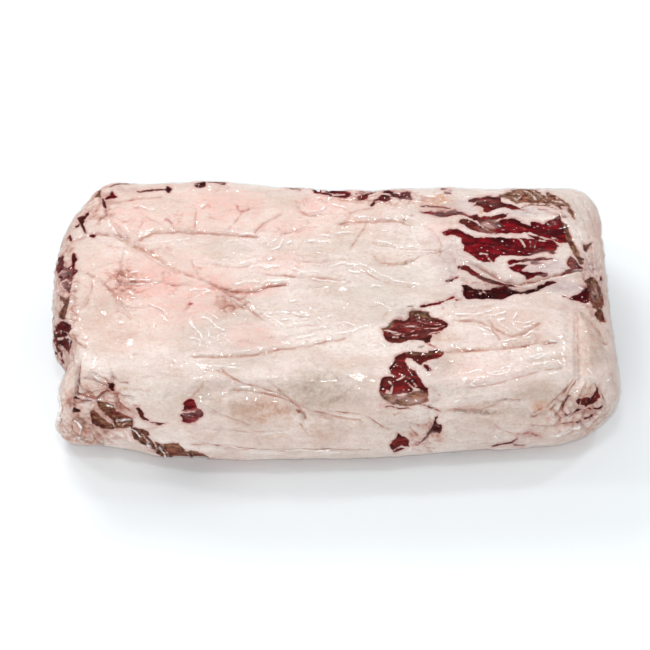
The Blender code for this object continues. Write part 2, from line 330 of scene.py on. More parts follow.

# Thin cuts to the meat and painted shade: half width in pixels, share of brown, share of dark, line in
# pixels
CUT_AND_SHADE_LINES = (
    ("left_streak_top", 0.7, 0.5, 0.3, ((422, 206.5), (430, 207), (440, 208), (450, 209))),
    ("ribbon_shadow", 1.5, 0.1, 0.5, ((459, 223.5), (466, 226.5), (473, 229.5), (480, 232), (487, 233.5))),
    ("seam_line", 1.2, 0.1, 0.6, (
        (459, 267), (465, 269), (472, 273), (480, 278), (488, 281.5), (494, 283))),
    ("thin_red_line", 1.1, 0.0, 0.2, (
        (421, 307.5), (432, 305), (442, 302), (450, 299), (454, 297.5), (457, 300), (461, 300.5))),
    ("seam_tail", 1.2, 0.1, 0.2, ((446, 281), (452, 279.5), (458, 277.5))),
    ("upper_line_1", 0.5, 0.9, 0.3, ((522, 207), (531, 205), (541, 205), (550, 205))),
    ("upper_line_2", 0.6, 0.9, 0.4, ((538, 209), (545, 210.5), (551, 213), (557, 215), (565, 217))),
    ("upper_line_3", 0.5, 0.9, 0.2, ((546, 206), (554, 209), (560, 212), (566, 217))),
    ("upper_line_4", 0.5, 0.9, 0.2, ((551, 203), (557, 206), (561, 209))),
    ("fat_bulge_top", 0.45, 0.6, 0.4, ((381, 405), (390, 406), (400, 408), (410, 408.5))),
    ("fat_bulge_side", 0.5, 0.5, 0.6, ((418, 394), (420, 400), (421, 404))),
    ("fat_bulge_tail", 0.4, 0.6, 0.2, ((420, 404), (430, 407), (440, 410.5))),
    ("back_left_seam", 0.5, 0.5, 0.6, ((137, 192), (141, 193), (147, 191), (155, 190.5), (164, 190))),
    ("back_edge_1", 0.5, 0.3, 0.5, ((104, 188), (112, 186), (122, 183.5), (132, 183))),
    ("back_edge_2", 0.5, 0.4, 0.5, ((206, 183), (216, 184), (225, 185))),
    ("back_edge_3", 0.5, 0.4, 0.3, ((286, 187.5), (293, 189), (300, 190.5))),
    ("back_edge_4", 0.5, 0.4, 0.6, ((441, 189.5), (447, 190), (451, 191.5))),
    ("back_edge_5", 0.4, 0.4, 0.6, ((445, 193), (450, 194))),
    ("front_foot_line", 0.6, 0.9, 0.5, ((209, 458), (225, 459.5), (245, 459.5))),
    ("left_cross_line", 0.4, 0.8, 0.3, ((95, 426), (102, 423), (109, 421))),
    ("left_long_line", 0.6, 0.9, 0.5, ((112, 428), (121, 428.5), (130, 428.5))),
    ("left_top_line", 0.5, 0.7, 0.4, ((74, 399), (82, 400.5), (92, 401.5), (100, 403))),
    ("corner_diagonal", 1.5, 0.9, 0.2, ((562, 410), (565, 404), (569, 397))),
    ("corner_thin", 0.9, 0.4, 0.5, ((565, 414.5), (572, 412), (582, 409.5), (590, 409))),
    ("corner_thin_2", 0.8, 0.5, 0.4, ((577, 423), (584, 419), (590, 416))),
    ("front_red_line", 0.8, 0.6, 0.3, ((493, 446), (497, 444.5), (505, 443.5), (512, 442), (518, 439))),
    ("front_red_tail", 0.8, 0.3, 0.3, ((514, 444), (520, 445), (524, 445))),
)

# Strands of fat that cross the open meat: half width in pixels, line in pixels
STRANDS = (
    ("main_ribbon", 2.0, (
        (450, 218), (458, 224), (467, 230), (478, 234), (490, 235.2), (502, 235.2), (514, 236.5),
        (527, 237.5))),
    ("ribbon_end", 2.2, ((525, 234), (528, 238))),
    ("main_thread", 0.8, ((528, 233), (536, 236), (545, 238), (552, 240), (560, 245))),
    ("main_thread_low", 0.8, ((520, 240), (523, 243), (525, 247))),
    ("fleck_right", 1.0, ((552, 237.5), (556, 239))),
    ("fleck_middle", 0.9, ((539, 241), (544, 241))),
    ("strip_thread_1", 0.6, ((504, 198.5), (510, 197), (516, 199))),
    ("strip_thread_2", 0.5, ((518, 194), (521, 197), (517, 200))),
    ("strip_thread_3", 0.6, ((545, 194), (548, 200))),
    ("strip_thread_5", 0.6, ((524, 191), (531, 195), (536, 200))),
    ("strip_thread_6", 0.5, ((533, 191), (540, 197), (546, 201))),
    ("strip_thread_7", 0.5, ((556, 198), (562, 203), (570, 209))),
    ("strip_thread_4", 0.8, ((552, 201), (560, 202), (566, 207))),
    ("pocket_loop", 1.0, ((480, 254), (487, 255), (489, 260))),
    ("upper_thread_1", 0.6, ((391, 332), (400, 333.5), (410, 333), (416, 329.5), (421, 331))),
    ("upper_thread_2", 0.5, ((413, 320), (422, 322), (431, 324.5), (441, 324))),
    ("upper_thread_3", 0.5, ((424, 337), (432, 333), (440, 332))),
    ("upper_thread_5", 0.5, ((400, 327), (412, 326), (424, 329), (436, 328.5), (444, 326))),
    ("upper_thread_6", 0.45, ((388, 336), (398, 335), (408, 337), (418, 335))),
    ("lower_thread_4", 0.5, ((412, 359), (420, 368), (425, 378), (428, 388))),
    ("lower_thread_5", 0.45, ((402, 372), (410, 378), (416, 386))),
    ("upper_patch", 0.8, ((393, 337.5), (399, 338))),
    ("upper_thread_4", 0.5, ((384, 330.5), (390, 331.5))),
    ("lower_thread_1", 0.9, ((397, 380), (404, 376), (409, 379))),
    ("lower_thread_2", 0.9, ((407, 383), (413, 388), (419, 390))),
    ("lower_thread_3", 0.8, ((389, 382), (393, 386), (391, 393))),
    ("gash_thread", 1.0, ((181, 412.5), (187, 411.8), (194, 411))),
    ("left_thread_1", 2.0, ((92, 404), (98, 411), (104, 417), (111, 421))),
    ("left_thread_2", 1.1, ((116, 421), (124, 419))),
    ("left_thread_3", 0.8, ((122, 426), (127, 422), (133, 420))),
    ("left_thread_4", 0.35, ((141, 433), (147, 441), (156, 451))),
    ("left_thread_5", 0.35, ((162, 444), (166, 451), (171, 458))),
    ("left_thread_6", 0.35, ((184, 452), (189, 455), (196, 461))),
    ("edge_thread_1", 0.9, ((57, 276), (62, 272), (68, 271))),
    ("edge_thread_2", 0.8, ((59, 284), (66, 279), (70, 283))),
    ("edge_thread_3", 0.9, ((58, 291), (64, 290), (69, 296))),
    ("edge_thread_4", 0.8, ((57, 333), (63, 331), (68, 334))),
    ("edge_thread_5", 0.9, ((56, 338.5), (62, 338.5), (68, 337))),
    ("back_thread_1", 0.8, ((355, 195), (363, 194), (371, 191.5))),
    ("back_thread_2", 0.8, ((384, 194.5), (392, 196), (399, 199))),
    ("back_thread_3", 0.8, ((322, 192), (334, 194.5), (345, 195))),
    ("corner_thread_1", 0.9, ((580, 404), (584, 396), (588, 391))),
    ("gap_thread_1", 0.9, ((475, 286), (477, 290), (480, 294))),
    ("gap_thread_2", 0.8, ((482, 290), (486, 294))),
    ("window_thread", 0.8, ((394, 449), (401, 446), (408, 447))),
)

# Puckered zones: centre x and y, half length and half width in pixels
TUCKED = (
    ("front_left", 92, 416, 50, 40),
    ("left_edge", 66, 300, 16, 90),
    ("back_left", 92, 208, 30, 24),
    ("front_right", 578, 414, 38, 26),
    ("right_edge", 592, 285, 14, 40),
    ("back_middle", 385, 197, 60, 10),
    ("slit", 425, 436, 24, 22),
    ("star", 125, 282, 26, 20),
    ("clots", 232, 300, 22, 14),
)

# Folds of the fat: depth in mm (a ridge if below nought), half width in pixels, line in pixels
FOLDS = (
    ("left_diagonal", 1.0, 4, (
        (106, 213), (113, 224), (120, 236), (133, 244), (148, 253), (163, 262), (178, 271), (196, 278),
        (212, 284), (228, 292), (241, 302), (260, 317), (275, 327))),
    ("left_diagonal_rim", -0.9, 4, ((108, 218), (120, 231), (136, 240), (155, 246), (175, 243))),
    ("back_long", 1.2, 4, (
        (97, 234), (112, 235), (140, 240), (152, 233), (175, 231), (200, 233), (228, 234), (240, 235.5),
        (252, 236), (258, 238))),
    ("back_long_rise", 0.9, 4, ((254, 234), (260, 226), (268, 221), (280, 214))),
    ("star_arm_1", 1.0, 3, (
        (86, 273), (96, 277), (106, 285), (113, 294), (118, 302), (124, 308), (130, 314))),
    ("star_arm_2", 1.2, 3, ((120, 281), (128, 283), (142, 282), (158, 282), (176, 285), (190, 284))),
    ("star_arm_3", 0.8, 3, ((122, 282), (124, 274), (121, 262), (124, 250))),
    ("star_pit", 0.9, 5, ((121, 281), (127, 284))),
    ("star_low_loop", 0.8, 3, ((118, 300), (124, 306), (134, 308), (150, 306), (160, 309), (167, 316))),
    ("red_pinch", 1.6, 4, ((215, 285), (232, 291), (247, 292), (258, 290), (268, 286), (286, 284))),
    ("red_pinch_low", 1.2, 4, ((222, 295), (226, 302), (224, 309), (229, 316))),
    ("cross_lines", 0.6, 2, ((226, 296), (235, 303), (243, 307))),
    ("middle_line_1", 0.8, 3, ((262, 313), (275, 312), (290, 313), (302, 316), (320, 318))),
    ("middle_line_2", 0.8, 3, ((276, 330), (290, 327), (305, 325), (318, 325))),
    ("middle_line_3", 0.8, 3, ((270, 338), (290, 336), (310, 331), (330, 328))),
    ("long_front_line", 1.2, 4, (
        (193, 356), (215, 357), (240, 356), (254, 355), (270, 351), (290, 348), (310, 345), (330, 340),
        (345, 338))),
    ("long_front_rim", -0.7, 4, ((200, 352), (225, 351), (250, 348), (290, 343), (330, 336))),
    ("front_brow", 1.1, 4, (
        (205, 369), (222, 370), (232, 377), (242, 383), (256, 386), (268, 390), (284, 395))),
    ("front_brow_low", 1.2, 4, (
        (234, 390), (250, 391), (266, 394), (280, 398), (296, 405), (312, 411), (335, 417), (360, 421))),
    ("front_step", 1.2, 4, ((270, 382), (279, 390), (290, 401), (300, 409), (306, 419))),
    ("front_low_line", 0.9, 3, ((203, 428), (220, 430), (238, 431), (262, 432), (280, 431))),
    ("front_mark", 0.9, 3, ((212, 410), (224, 416), (238, 421), (250, 426), (258, 429))),
    ("front_ledge_line", 1.3, 4, (
        (190, 445), (215, 446), (232, 448), (250, 450), (280, 450.5), (315, 450), (345, 450.5),
        (370, 451))),
    ("front_ledge_rim", -0.9, 4, ((190, 440), (218, 441), (236, 444), (262, 445), (320, 446))),
    ("front_curve", 1.2, 4, ((335, 412), (355, 414), (370, 418), (380, 426), (392, 431), (398, 433))),
    ("front_small_tuck", 1.4, 5, ((297, 411), (303, 415), (305, 420))),
    ("back_mid_line_1", 1.0, 4, ((300, 206), (302, 212), (310, 216), (322, 214))),
    ("back_mid_line_2", 0.8, 3, ((278, 228), (284, 233), (296, 231), (306, 227), (309, 221))),
    ("back_mid_line_3", 1.0, 4, (
        (340, 223), (352, 221), (362, 221), (376, 222), (392, 220), (401, 221), (412, 226))),
    ("back_mid_line_4", 0.8, 3, ((350, 213), (358, 210), (372, 209))),
    ("back_mid_swoop", 0.9, 4, ((352, 246), (358, 238), (364, 229), (366, 223))),
    ("back_mid_upright", 0.7, 3, ((397, 224), (398, 231), (397, 238))),
    ("mid_long_1", 1.1, 4, ((268, 274), (285, 275), (300, 277), (318, 278), (335, 279), (350, 282))),
    ("mid_long_2", 1.0, 4, ((350, 268), (365, 272), (380, 280), (395, 285), (415, 288))),
    ("mid_long_3", 0.8, 4, ((205, 264), (222, 265), (243, 267), (262, 262), (275, 259))),
    ("mid_long_4", 0.8, 4, ((300, 261), (322, 262), (340, 259), (352, 260))),
    ("mid_long_5", 0.8, 4, ((372, 243), (392, 247), (412, 250), (440, 250))),
    ("tan_crescent", 0.7, 4, ((373, 256), (382, 263), (392, 264), (405, 263), (415, 259))),
    ("right_upper_bulge", -1.2, 8, ((385, 215), (405, 212), (425, 220), (440, 222))),
    ("lean_rim_upper", -1.0, 5, ((500, 211), (520, 213), (545, 216))),
    ("loop_left", 1.0, 4, ((455, 320), (475, 321), (488, 326), (496, 333), (500, 340))),
    ("loop_mid", 1.0, 4, ((490, 320), (494, 327), (503, 333), (515, 336), (526, 332), (540, 323))),
    ("lobe_fold_1", 1.3, 5, ((447, 352), (465, 351), (490, 350), (515, 347), (540, 343), (556, 342))),
    ("lobe_fold_1_rim", -0.8, 5, ((450, 343), (480, 343), (510, 340), (535, 336))),
    ("lobe_fold_2", 0.9, 5, ((470, 388), (495, 384), (520, 377), (545, 370), (562, 367))),
    ("lobe_fold_2_rim", -0.9, 5, ((466, 381), (490, 377), (515, 370), (545, 362))),
    ("lobe_ridge", -0.8, 4, ((525, 358), (540, 356), (556, 353))),
    ("lobe_low_brow", 1.2, 5, ((448, 411), (462, 410), (480, 411), (496, 405), (505, 400), (520, 400))),
    ("lobe_low_brow_rim", -1.0, 6, ((455, 398), (480, 396), (505, 391), (530, 389))),
    ("lobe_under", 0.8, 4, ((478, 418), (490, 421), (497, 427), (503, 431), (515, 435), (526, 438))),
    ("lobe_under_rim", -0.8, 4, ((462, 440), (480, 439), (492, 435), (501, 431))),
    ("upright_fold", 1.0, 4, ((579, 312), (578, 330), (578.5, 350), (579.5, 380))),
    ("upright_fold_rim", -0.8, 4, ((573, 312), (572, 340), (573, 372))),
    ("right_wall_line", 0.8, 4, ((580, 311), (590, 321), (600, 331), (606, 345))),
    ("corner_fold_1", -2.1, 3, ((566, 412), (574, 398), (582, 383))),
    ("corner_fold_2", 1.8, 4, ((557, 416), (563, 404), (571, 390), (577, 381))),
    ("corner_fold_3", -1.8, 3, ((577, 403), (583, 392), (589, 383))),
    ("corner_fold_4", 1.5, 4, ((560, 400), (568, 388), (575, 378))),
    ("corner_fold_5", 1.5, 3, ((532, 417), (540, 415), (550, 411), (556, 405))),
    ("corner_fold_6", 1.5, 3, ((532, 425), (545, 427), (560, 426), (572, 424), (580, 422))),
    ("corner_fold_7", -1.8, 3, ((555, 435), (566, 430), (578, 425))),
    ("left_edge_fold_1", 1.8, 4, ((68, 336), (74, 340), (79, 344), (86, 347))),
    ("left_edge_fold_2", 1.4, 3, ((70, 341), (72, 350), (74, 360), (75, 372))),
    ("left_tuck_1", 2.1, 5, ((76, 393), (84, 396), (97, 399), (104, 393), (111, 387))),
    ("left_tuck_2", 1.5, 4, ((79, 381), (82, 388), (90, 393))),
    ("left_tuck_3", 1.7, 4, ((91, 376), (98, 381), (107, 385), (112, 384))),
    ("left_tuck_4", 1.7, 4, ((104, 392), (110, 393), (117, 395), (118, 402), (124, 408), (130, 412))),
    ("left_tuck_5", 1.5, 4, ((113, 377), (120, 382), (127, 383))),
    ("left_upright_1", -1.8, 3, ((76, 360), (76, 380), (74, 398), (72, 412))),
    ("left_upright_2", 1.8, 3, ((79, 362), (79, 382), (77, 396))),
    ("left_low_1", 1.7, 4, ((73, 424), (80, 422), (86, 426), (94, 428))),
    ("left_low_2", 1.7, 4, ((72, 438), (80, 437), (84, 431), (83, 424))),
    ("left_low_3", 1.5, 4, ((84, 438), (92, 440), (99, 444))),
    ("left_low_4", 1.5, 4, ((98, 432), (104, 437), (109, 442))),
    ("left_low_5", -1.5, 4, ((95, 431), (115, 435), (135, 438))),
    ("pale_edge", -1.2, 5, ((80, 270), (75, 285), (73, 300), (70, 314), (72, 322))),
    ("pale_edge_line", 0.9, 4, ((92, 280), (91, 292), (87, 303), (79, 311), (74, 322))),
    ("vertical_tuck", 0.9, 4, ((195, 206), (196, 218), (194, 231))),
    ("back_left_brow", 1.1, 4, ((106, 201), (120, 201), (140, 198), (160, 197))),
    ("back_left_wave_1", 0.8, 3, ((113, 215), (123, 221), (134, 221))),
    ("back_left_wave_2", 0.8, 3, ((137, 208), (143, 216), (152, 219), (162, 224))),
    ("back_left_wave_3", 0.8, 3, ((143, 221), (139, 230), (139, 239))),
    ("rib_mark_1", 0.9, 4, ((62, 248), (70, 244), (78, 239), (86, 237))),
    ("flow_ridge_1", -1.9, 3, (
        (463, 260), (480, 263), (493, 272), (517, 279), (533, 277), (560, 272), (580, 269))),
    ("flow_valley_1", 1.6, 3, (
        (470, 263), (486, 271), (500, 280), (516, 284), (535, 282), (556, 276), (580, 271))),
    ("flow_ridge_2", -1.7, 3, (
        (475, 284), (500, 286), (520, 289), (533, 285.5), (550, 279.5), (567, 275), (581, 272))),
    ("flow_left_1", 1.0, 3, ((402, 264), (420, 256), (440, 251), (458, 246))),
    ("flow_left_2", 1.0, 3, ((447, 252), (455, 258), (458, 270), (452, 280), (444, 286))),
    ("flow_left_3", -1.0, 3, ((440, 258), (448, 266), (450, 276))),
    ("flow_left_4", 0.9, 3, ((430, 228), (438, 236), (442, 246), (440, 256))),
    ("flow_left_5", -0.9, 3, ((448, 222), (452, 232), (450, 244))),
    ("rim_line_1", 0.7, 2, ((574, 200), (582, 215), (590, 235), (592, 250), (588, 262))),
    ("rim_line_2", 0.7, 2, ((584, 200), (593, 220), (598, 240), (596, 256), (590, 266))),
    ("rim_line_3", 0.6, 2, ((566, 215), (578, 232), (585, 250), (586, 262))),
    ("rim_line_4", 0.6, 2, ((600, 225), (603, 245), (600, 262), (592, 270))),
    ("pinch_right_1", 0.9, 2, ((588, 268), (596, 274), (602, 286), (606, 300))),
    ("panel_edge", 1.1, 3, ((80, 360), (79.5, 372), (78, 382), (75.5, 392), (73, 405), (70, 415))),
    ("corner_arc_1", 1.2, 2, ((72, 428), (71, 434), (76, 437), (82, 434), (84, 427), (80, 421))),
    ("corner_arc_2", 1.2, 2, ((86, 423), (90, 429), (95, 424))),
    ("corner_arc_3", 1.0, 2, ((60, 424), (66, 430), (72, 438))),
    ("corner_arc_4", 1.0, 2, ((60, 418), (66, 424), (71, 428))),
    ("corner_arc_5", -1.3, 3, ((75, 395), (84, 396), (96, 399))),
    ("corner_arc_6", 1.2, 3, ((100, 398), (106, 393), (113, 390))),
    ("pinch_1", 1.5, 2.5, ((84, 377), (93, 380), (102, 384), (109, 386))),
    ("pinch_2", 1.4, 2.5, ((90, 372), (99, 376), (108, 381), (112, 386))),
    ("pinch_3", 1.6, 2.5, ((112, 372), (113, 380), (112, 388))),
    ("pinch_4", 1.5, 2.5, ((116, 392), (123, 396), (132, 397))),
    ("pinch_5", 1.4, 2.5, ((83, 390), (92, 392), (100, 390), (108, 388))),
    ("pinch_6", 1.6, 2.5, ((74, 397), (82, 401), (90, 401.5))),
    ("foot_pleat_1", 1.4, 2.5, ((86, 424), (90, 432), (96, 441))),
    ("foot_pleat_2", 1.4, 2.5, ((94, 428), (101, 436), (104, 444))),
    ("foot_pleat_3", 1.2, 2.5, ((60, 432), (72, 436), (84, 441), (94, 445))),
    ("foot_pleat_4", 1.2, 2.5, ((108, 432), (122, 437), (138, 443), (150, 448))),
    ("foot_pleat_5", 1.2, 2.5, ((74, 405), (73, 414), (76, 421))),
    ("corner_pleat_1", 1.5, 2.5, ((548, 406), (558, 398), (566, 388), (570, 378))),
    ("corner_pleat_2", 1.4, 2.5, ((560, 420), (570, 416), (582, 412), (594, 412))),
    ("corner_pleat_3", 1.3, 2.5, ((585, 424), (594, 416), (603, 408))),
    ("corner_pleat_4", 1.3, 2.5, ((596, 384), (602, 394), (607, 404))),
)

# Colour drawn along lines of the fat, by kind: share, half width in pixels, line in pixels
# Tan, grey and brown lines that follow folds and tucks are painted shade; the others are stains and veins
STAIN_AND_SHADE_LINES = {
    "blood": (
        ("small_cut", 1.0, 1.4, ((166, 219), (169, 220.5), (171.5, 223))),
        ("small_cut_tail", 0.25, 1.5, ((171, 223), (174, 229))),
        ("branched_vein", 0.7, 1.3, ((237, 206), (239, 210), (241, 211.5), (245, 210.5), (249, 209))),
        ("branched_vein_low", 0.3, 1.3, ((241, 213), (239, 218), (234, 223), (230, 227))),
        ("long_seam", 0.22, 1.8, ((175, 231), (195, 232), (215, 233), (228, 234))),
        ("long_seam_red", 0.45, 1.2, ((239, 235.5), (247, 235.3), (254, 236), (258, 238))),
        ("seam_rise", 0.25, 1.8, ((254, 234), (260, 226), (268, 221), (280, 214))),
        ("seam_left", 0.2, 1.6, ((97, 233), (108, 233), (120, 234))),
        ("diagonal_red", 0.25, 3.0, ((140, 247), (150, 251), (157, 253))),
        ("low_diagonal", 0.22, 2.0, ((180, 272), (195, 276), (205, 280), (215, 285), (228, 290))),
        ("star_red_1", 0.4, 1.6, ((120, 281), (123, 284), (127, 288))),
        ("star_red_2", 0.3, 1.6, ((125, 281), (129, 283))),
        ("star_red_3", 0.25, 1.5, ((158, 282), (164, 280), (163, 272))),
        ("pinch_dark", 0.85, 1.9, ((248, 291.5), (253, 291), (258, 290))),
        ("pinch_left", 0.4, 2.2, ((236, 291), (246, 292.5))),
        ("pinch_right", 0.45, 1.8, ((258, 289), (266, 286.5), (275, 284.5), (286, 284))),
        ("pinch_spot", 0.4, 1.4, ((265, 287.5), (267, 286.5))),
        ("clot_1", 0.75, 1.9, ((224, 295.5), (226, 296.5))),
        ("clot_line", 0.45, 1.1, ((227, 297), (235, 303), (243, 307))),
        ("clot_2", 0.5, 1.3, ((236, 297.5), (237, 298.5))),
        ("clot_3", 0.85, 2.0, ((189.5, 303.5), (191.5, 304))),
        ("clot_3_tail", 0.35, 2.2, ((188, 306), (184, 310))),
        ("red_line_left", 0.3, 1.2, ((284, 233), (292, 232), (302, 231), (307, 227))),
        ("red_line_mid", 0.25, 1.5, ((298, 207), (301, 212), (306, 216), (316, 216))),
        ("upper_red_stroke", 0.35, 1.2, ((320, 199), (324, 201), (328, 203))),
        ("upper_red_dot", 0.6, 1.2, ((330.5, 199.3), (332, 199.3))),
        ("upper_long_red", 0.3, 1.4, ((349, 222.5), (356, 221.5), (366, 221.5), (380, 220))),
        ("mid_red_band", 0.2, 2.2, ((300, 277), (315, 278), (328, 279))),
        ("mid_red_left", 0.25, 1.4, ((216, 265), (222, 265), (228, 266))),
        ("orange_line", 0.55, 1.3, ((531, 414), (537, 411), (542, 408))),
        ("orange_dot", 0.6, 1.4, ((532, 415.5), (533.5, 416))),
        ("red_low_1", 0.55, 1.3, ((532, 424.5), (539, 426), (548, 426.5), (556, 426.5))),
        ("red_low_2", 0.7, 1.9, ((518, 434.5), (524, 434), (529, 431), (533, 434), (539, 436))),
        ("red_low_3", 0.5, 1.6, ((526, 438), (532, 436), (538, 433))),
        ("red_low_4", 0.45, 1.5, ((564, 427), (572, 425), (580, 423), (588, 418))),
        ("red_low_5", 0.5, 1.3, ((556, 422), (559, 421), (562, 424))),
        ("red_low_6", 0.35, 1.5, ((562, 434), (570, 430), (577, 427))),
        ("wall_red_1", 0.5, 1.5, ((604, 343), (607, 344))),
        ("wall_red_2", 0.4, 1.2, ((605, 328), (608, 331))),
        ("wall_red_3", 0.4, 1.3, ((610, 374), (612, 379))),
        ("edge_fan_3", 0.3, 1.4, ((71, 341), (72, 352), (74, 362))),
        ("tuck_red_1", 0.5, 1.6, ((101, 396), (107, 392), (113, 392), (117, 396), (118, 402))),
        ("tuck_red_2", 0.4, 1.6, ((117, 402), (122, 407), (126, 410))),
        ("tuck_red_3", 0.35, 1.6, ((93, 377), (100, 382), (108, 386))),
        ("low_red_1", 0.6, 1.6, ((84, 424), (88, 426), (92, 429))),
        ("low_red_4", 0.8, 1.6, ((96, 442), (99, 444))),
        ("low_red_5", 0.35, 1.6, ((84, 433), (90, 438), (97, 441))),
        ("gash_vein", 0.5, 1.6, ((192, 398), (195, 393), (199, 391))),
        ("vein_top", 0.45, 1.8, ((133, 405), (138, 407), (140, 405))),
        ("pocket_vein", 0.35, 1.8, ((149, 428), (156, 427), (160, 424))),
        ("red_near_gap_1", 0.5, 2.0, ((468, 283), (478, 284), (488, 286))),
        ("red_near_gap_2", 0.4, 3.0, ((463, 280), (470, 284))),
        ("red_near_gap_3", 0.5, 1.2, ((454, 304), (456, 307))),
        ("red_near_gap_4", 0.5, 1.2, ((442, 306.5), (442.5, 309))),
        ("red_near_gap_5", 0.6, 1.4, ((508, 285), (515, 286), (519, 288))),
        ("red_above_middle", 0.35, 2.4, ((396, 318), (404, 318), (409, 314))),
        ("red_below_middle", 0.8, 1.4, ((428, 344), (432, 347), (435, 347.5))),
        ("red_right_middle", 0.35, 1.6, ((430, 386), (434, 390), (439, 395))),
        ("back_pink_band", 0.3, 3.5, ((118, 189), (127, 192), (136, 190))),
        ("foot_rim_red", 0.4, 1.2, ((72, 438), (82, 437.5))),
        ("left_pinch_red", 0.6, 1.8, ((112, 384), (113, 390), (117, 395), (118, 403))),
        ("edge_shadow_1", 0.35, 2.0, ((98, 398), (106, 393), (112, 391))),
        ("foot_red", 0.5, 1.3, ((90, 430), (96, 438), (99, 443))),
        ("flow_red_1", 0.3, 1.3, ((470, 262), (486, 270), (500, 279), (516, 283))),
        ("flow_red_2", 0.3, 1.3, ((476, 285), (492, 286), (508, 288), (522, 289))),
        ("flow_red_3", 0.25, 1.4, ((530, 283), (548, 278), (566, 273), (582, 270))),
        ("diagonal_red", 0.35, 0.9, ((109, 216), (119, 228), (129, 239), (143, 246), (156, 254))),
        ("diagonal_long_red", 0.3, 0.9, (
            (129, 240), (141, 252), (159, 264), (177, 273), (195, 276), (213, 284), (226, 291),
            (245, 299))),
        ("back_fold_red", 0.25, 0.9, ((141, 239), (150, 234), (165, 232), (195, 232), (245, 234))),
        ("left_fold_red_1", 0.3, 0.9, ((95, 233), (111, 233), (123, 238), (135, 243))),
        ("left_fold_red_2", 0.2, 0.9, ((96, 239), (108, 246), (123, 248), (138, 252))),
        ("left_fold_red_3", 0.2, 0.9, ((75, 272), (90, 270), (113, 263), (129, 260))),
        ("left_fold_red_4", 0.35, 0.9, (
            (84, 274), (95, 278), (110, 288), (119, 299), (126, 306), (135, 309))),
        ("left_fold_red_5", 0.25, 0.9, ((90, 279), (92, 288), (86, 300), (75, 315))),
        ("left_fold_red_6", 0.3, 0.9, ((141, 240), (139, 230), (143, 221))),
        ("short_cut_red", 0.9, 0.9, ((167, 220), (172, 223))),
        ("short_vein_1", 0.3, 0.8, ((171, 224), (173, 230))),
        ("short_vein_2", 0.25, 0.8, ((195, 215), (194, 228))),
        ("short_vein_3", 0.3, 0.8, ((192, 261), (194, 269), (201, 278))),
        ("long_vein_1", 0.3, 0.9, ((240, 235), (250, 235), (256, 236), (268, 222), (281, 214))),
        ("long_vein_2", 0.3, 0.9, ((298, 207), (301, 212), (312, 214), (322, 210))),
        ("long_vein_3", 0.3, 0.9, ((344, 224), (356, 221), (370, 221), (386, 219))),
        ("long_vein_4", 0.25, 0.9, ((255, 272), (280, 275), (310, 278), (330, 279))),
        ("long_vein_5", 0.35, 0.9, ((240, 290), (258, 289), (270, 284), (286, 285))),
    ),
    "tan": (
        ("diagonal_tan", 0.7, 3.0, ((116, 235), (124, 241), (133, 246), (140, 249), (150, 252))),
        ("diagonal_tan_low", 0.4, 2.0, ((150, 252), (165, 262), (180, 272))),
        ("rise_tan", 0.4, 2.5, ((140, 240), (150, 236), (160, 232))),
        ("star_tan_arm", 0.35, 1.6, ((88, 273), (96, 277), (106, 285), (113, 294), (119, 303), (126, 310))),
        ("star_tan_arm_low", 0.4, 2.0, ((118, 311), (126, 314), (131, 320))),
        ("clot_1_tail", 0.8, 2.0, ((225, 297), (224, 303), (224, 308))),
        ("swoop_tan", 0.3, 2.0, ((350, 248), (358, 238), (364, 229))),
        ("crescent_tan", 0.75, 2.2, ((374, 257), (382, 263), (392, 264), (405, 262.5), (411, 260))),
        ("front_long_tan", 0.45, 2.0, ((195, 355), (220, 357), (240, 356), (256, 355), (275, 351))),
        ("front_long_tan_2", 0.35, 1.8, ((275, 350), (300, 348), (330, 342), (345, 338))),
        ("brow_tan", 0.5, 2.0, ((205, 370), (222, 371), (230, 376), (236, 381))),
        ("brow_tan_low", 0.55, 1.8, ((236, 391), (254, 391), (268, 394), (280, 397))),
        ("step_tan", 0.75, 1.7, ((278, 389), (285, 395), (292, 401), (298, 403))),
        ("step_tan_low", 0.55, 1.5, ((297, 410), (310, 414), (330, 419), (348, 419))),
        ("tuck_tail", 0.8, 1.5, ((299, 423), (304, 429), (308, 434))),
        ("curve_tan", 0.5, 1.5, ((340, 413), (358, 415), (372, 419), (381, 427), (391, 431))),
        ("ledge_tan", 0.45, 1.4, ((225, 449), (250, 451), (285, 451), (320, 451), (370, 451))),
        ("loop_tan_1", 0.4, 1.8, ((462, 320), (478, 321), (487, 325), (494, 331), (500, 338))),
        ("loop_tan_2", 0.45, 1.8, ((490, 320), (494, 328), (503, 334), (514, 336), (526, 331), (540, 323))),
        ("lobe_tan_1", 0.5, 2.8, ((452, 350), (470, 350), (488, 349), (505, 347))),
        ("lobe_tan_2", 0.4, 3.0, ((505, 345), (520, 343), (545, 342))),
        ("lobe_tan_3", 0.3, 2.2, ((535, 361), (548, 360), (565, 357))),
        ("orange_line_low", 0.6, 1.6, ((533, 417), (542, 416), (550, 412), (556, 406))),
        ("edge_fan_1", 0.7, 1.8, ((69, 336), (74, 339), (79, 343), (85, 346))),
        ("edge_fan_2", 0.4, 1.4, ((72, 334), (80, 338), (88, 340))),
        ("tuck_tan_1", 0.8, 2.0, ((78, 382), (77, 390), (78, 396))),
        ("tuck_tan_2", 0.5, 1.8, ((82, 390), (92, 394), (100, 396), (106, 391))),
        ("low_red_2", 0.8, 2.2, ((74, 414), (77, 419), (80, 422))),
        ("low_red_3", 0.7, 1.8, ((66, 437), (76, 438), (82, 437))),
        ("low_red_6", 0.5, 1.6, ((100, 434), (106, 439))),
        ("gash_tail", 0.5, 1.6, ((199, 390), (203, 384))),
        ("fold_mark", 0.45, 1.4, ((120, 389), (135, 389), (150, 391))),
        ("oval_mark", 0.7, 2.0, ((384, 316), (386.5, 313.5))),
        ("small_mark", 0.8, 1.6, ((395, 414), (400, 412.5))),
        ("foot_rim", 0.9, 2.2, ((62, 437), (72, 440), (84, 442.5), (95, 446), (103, 446))),
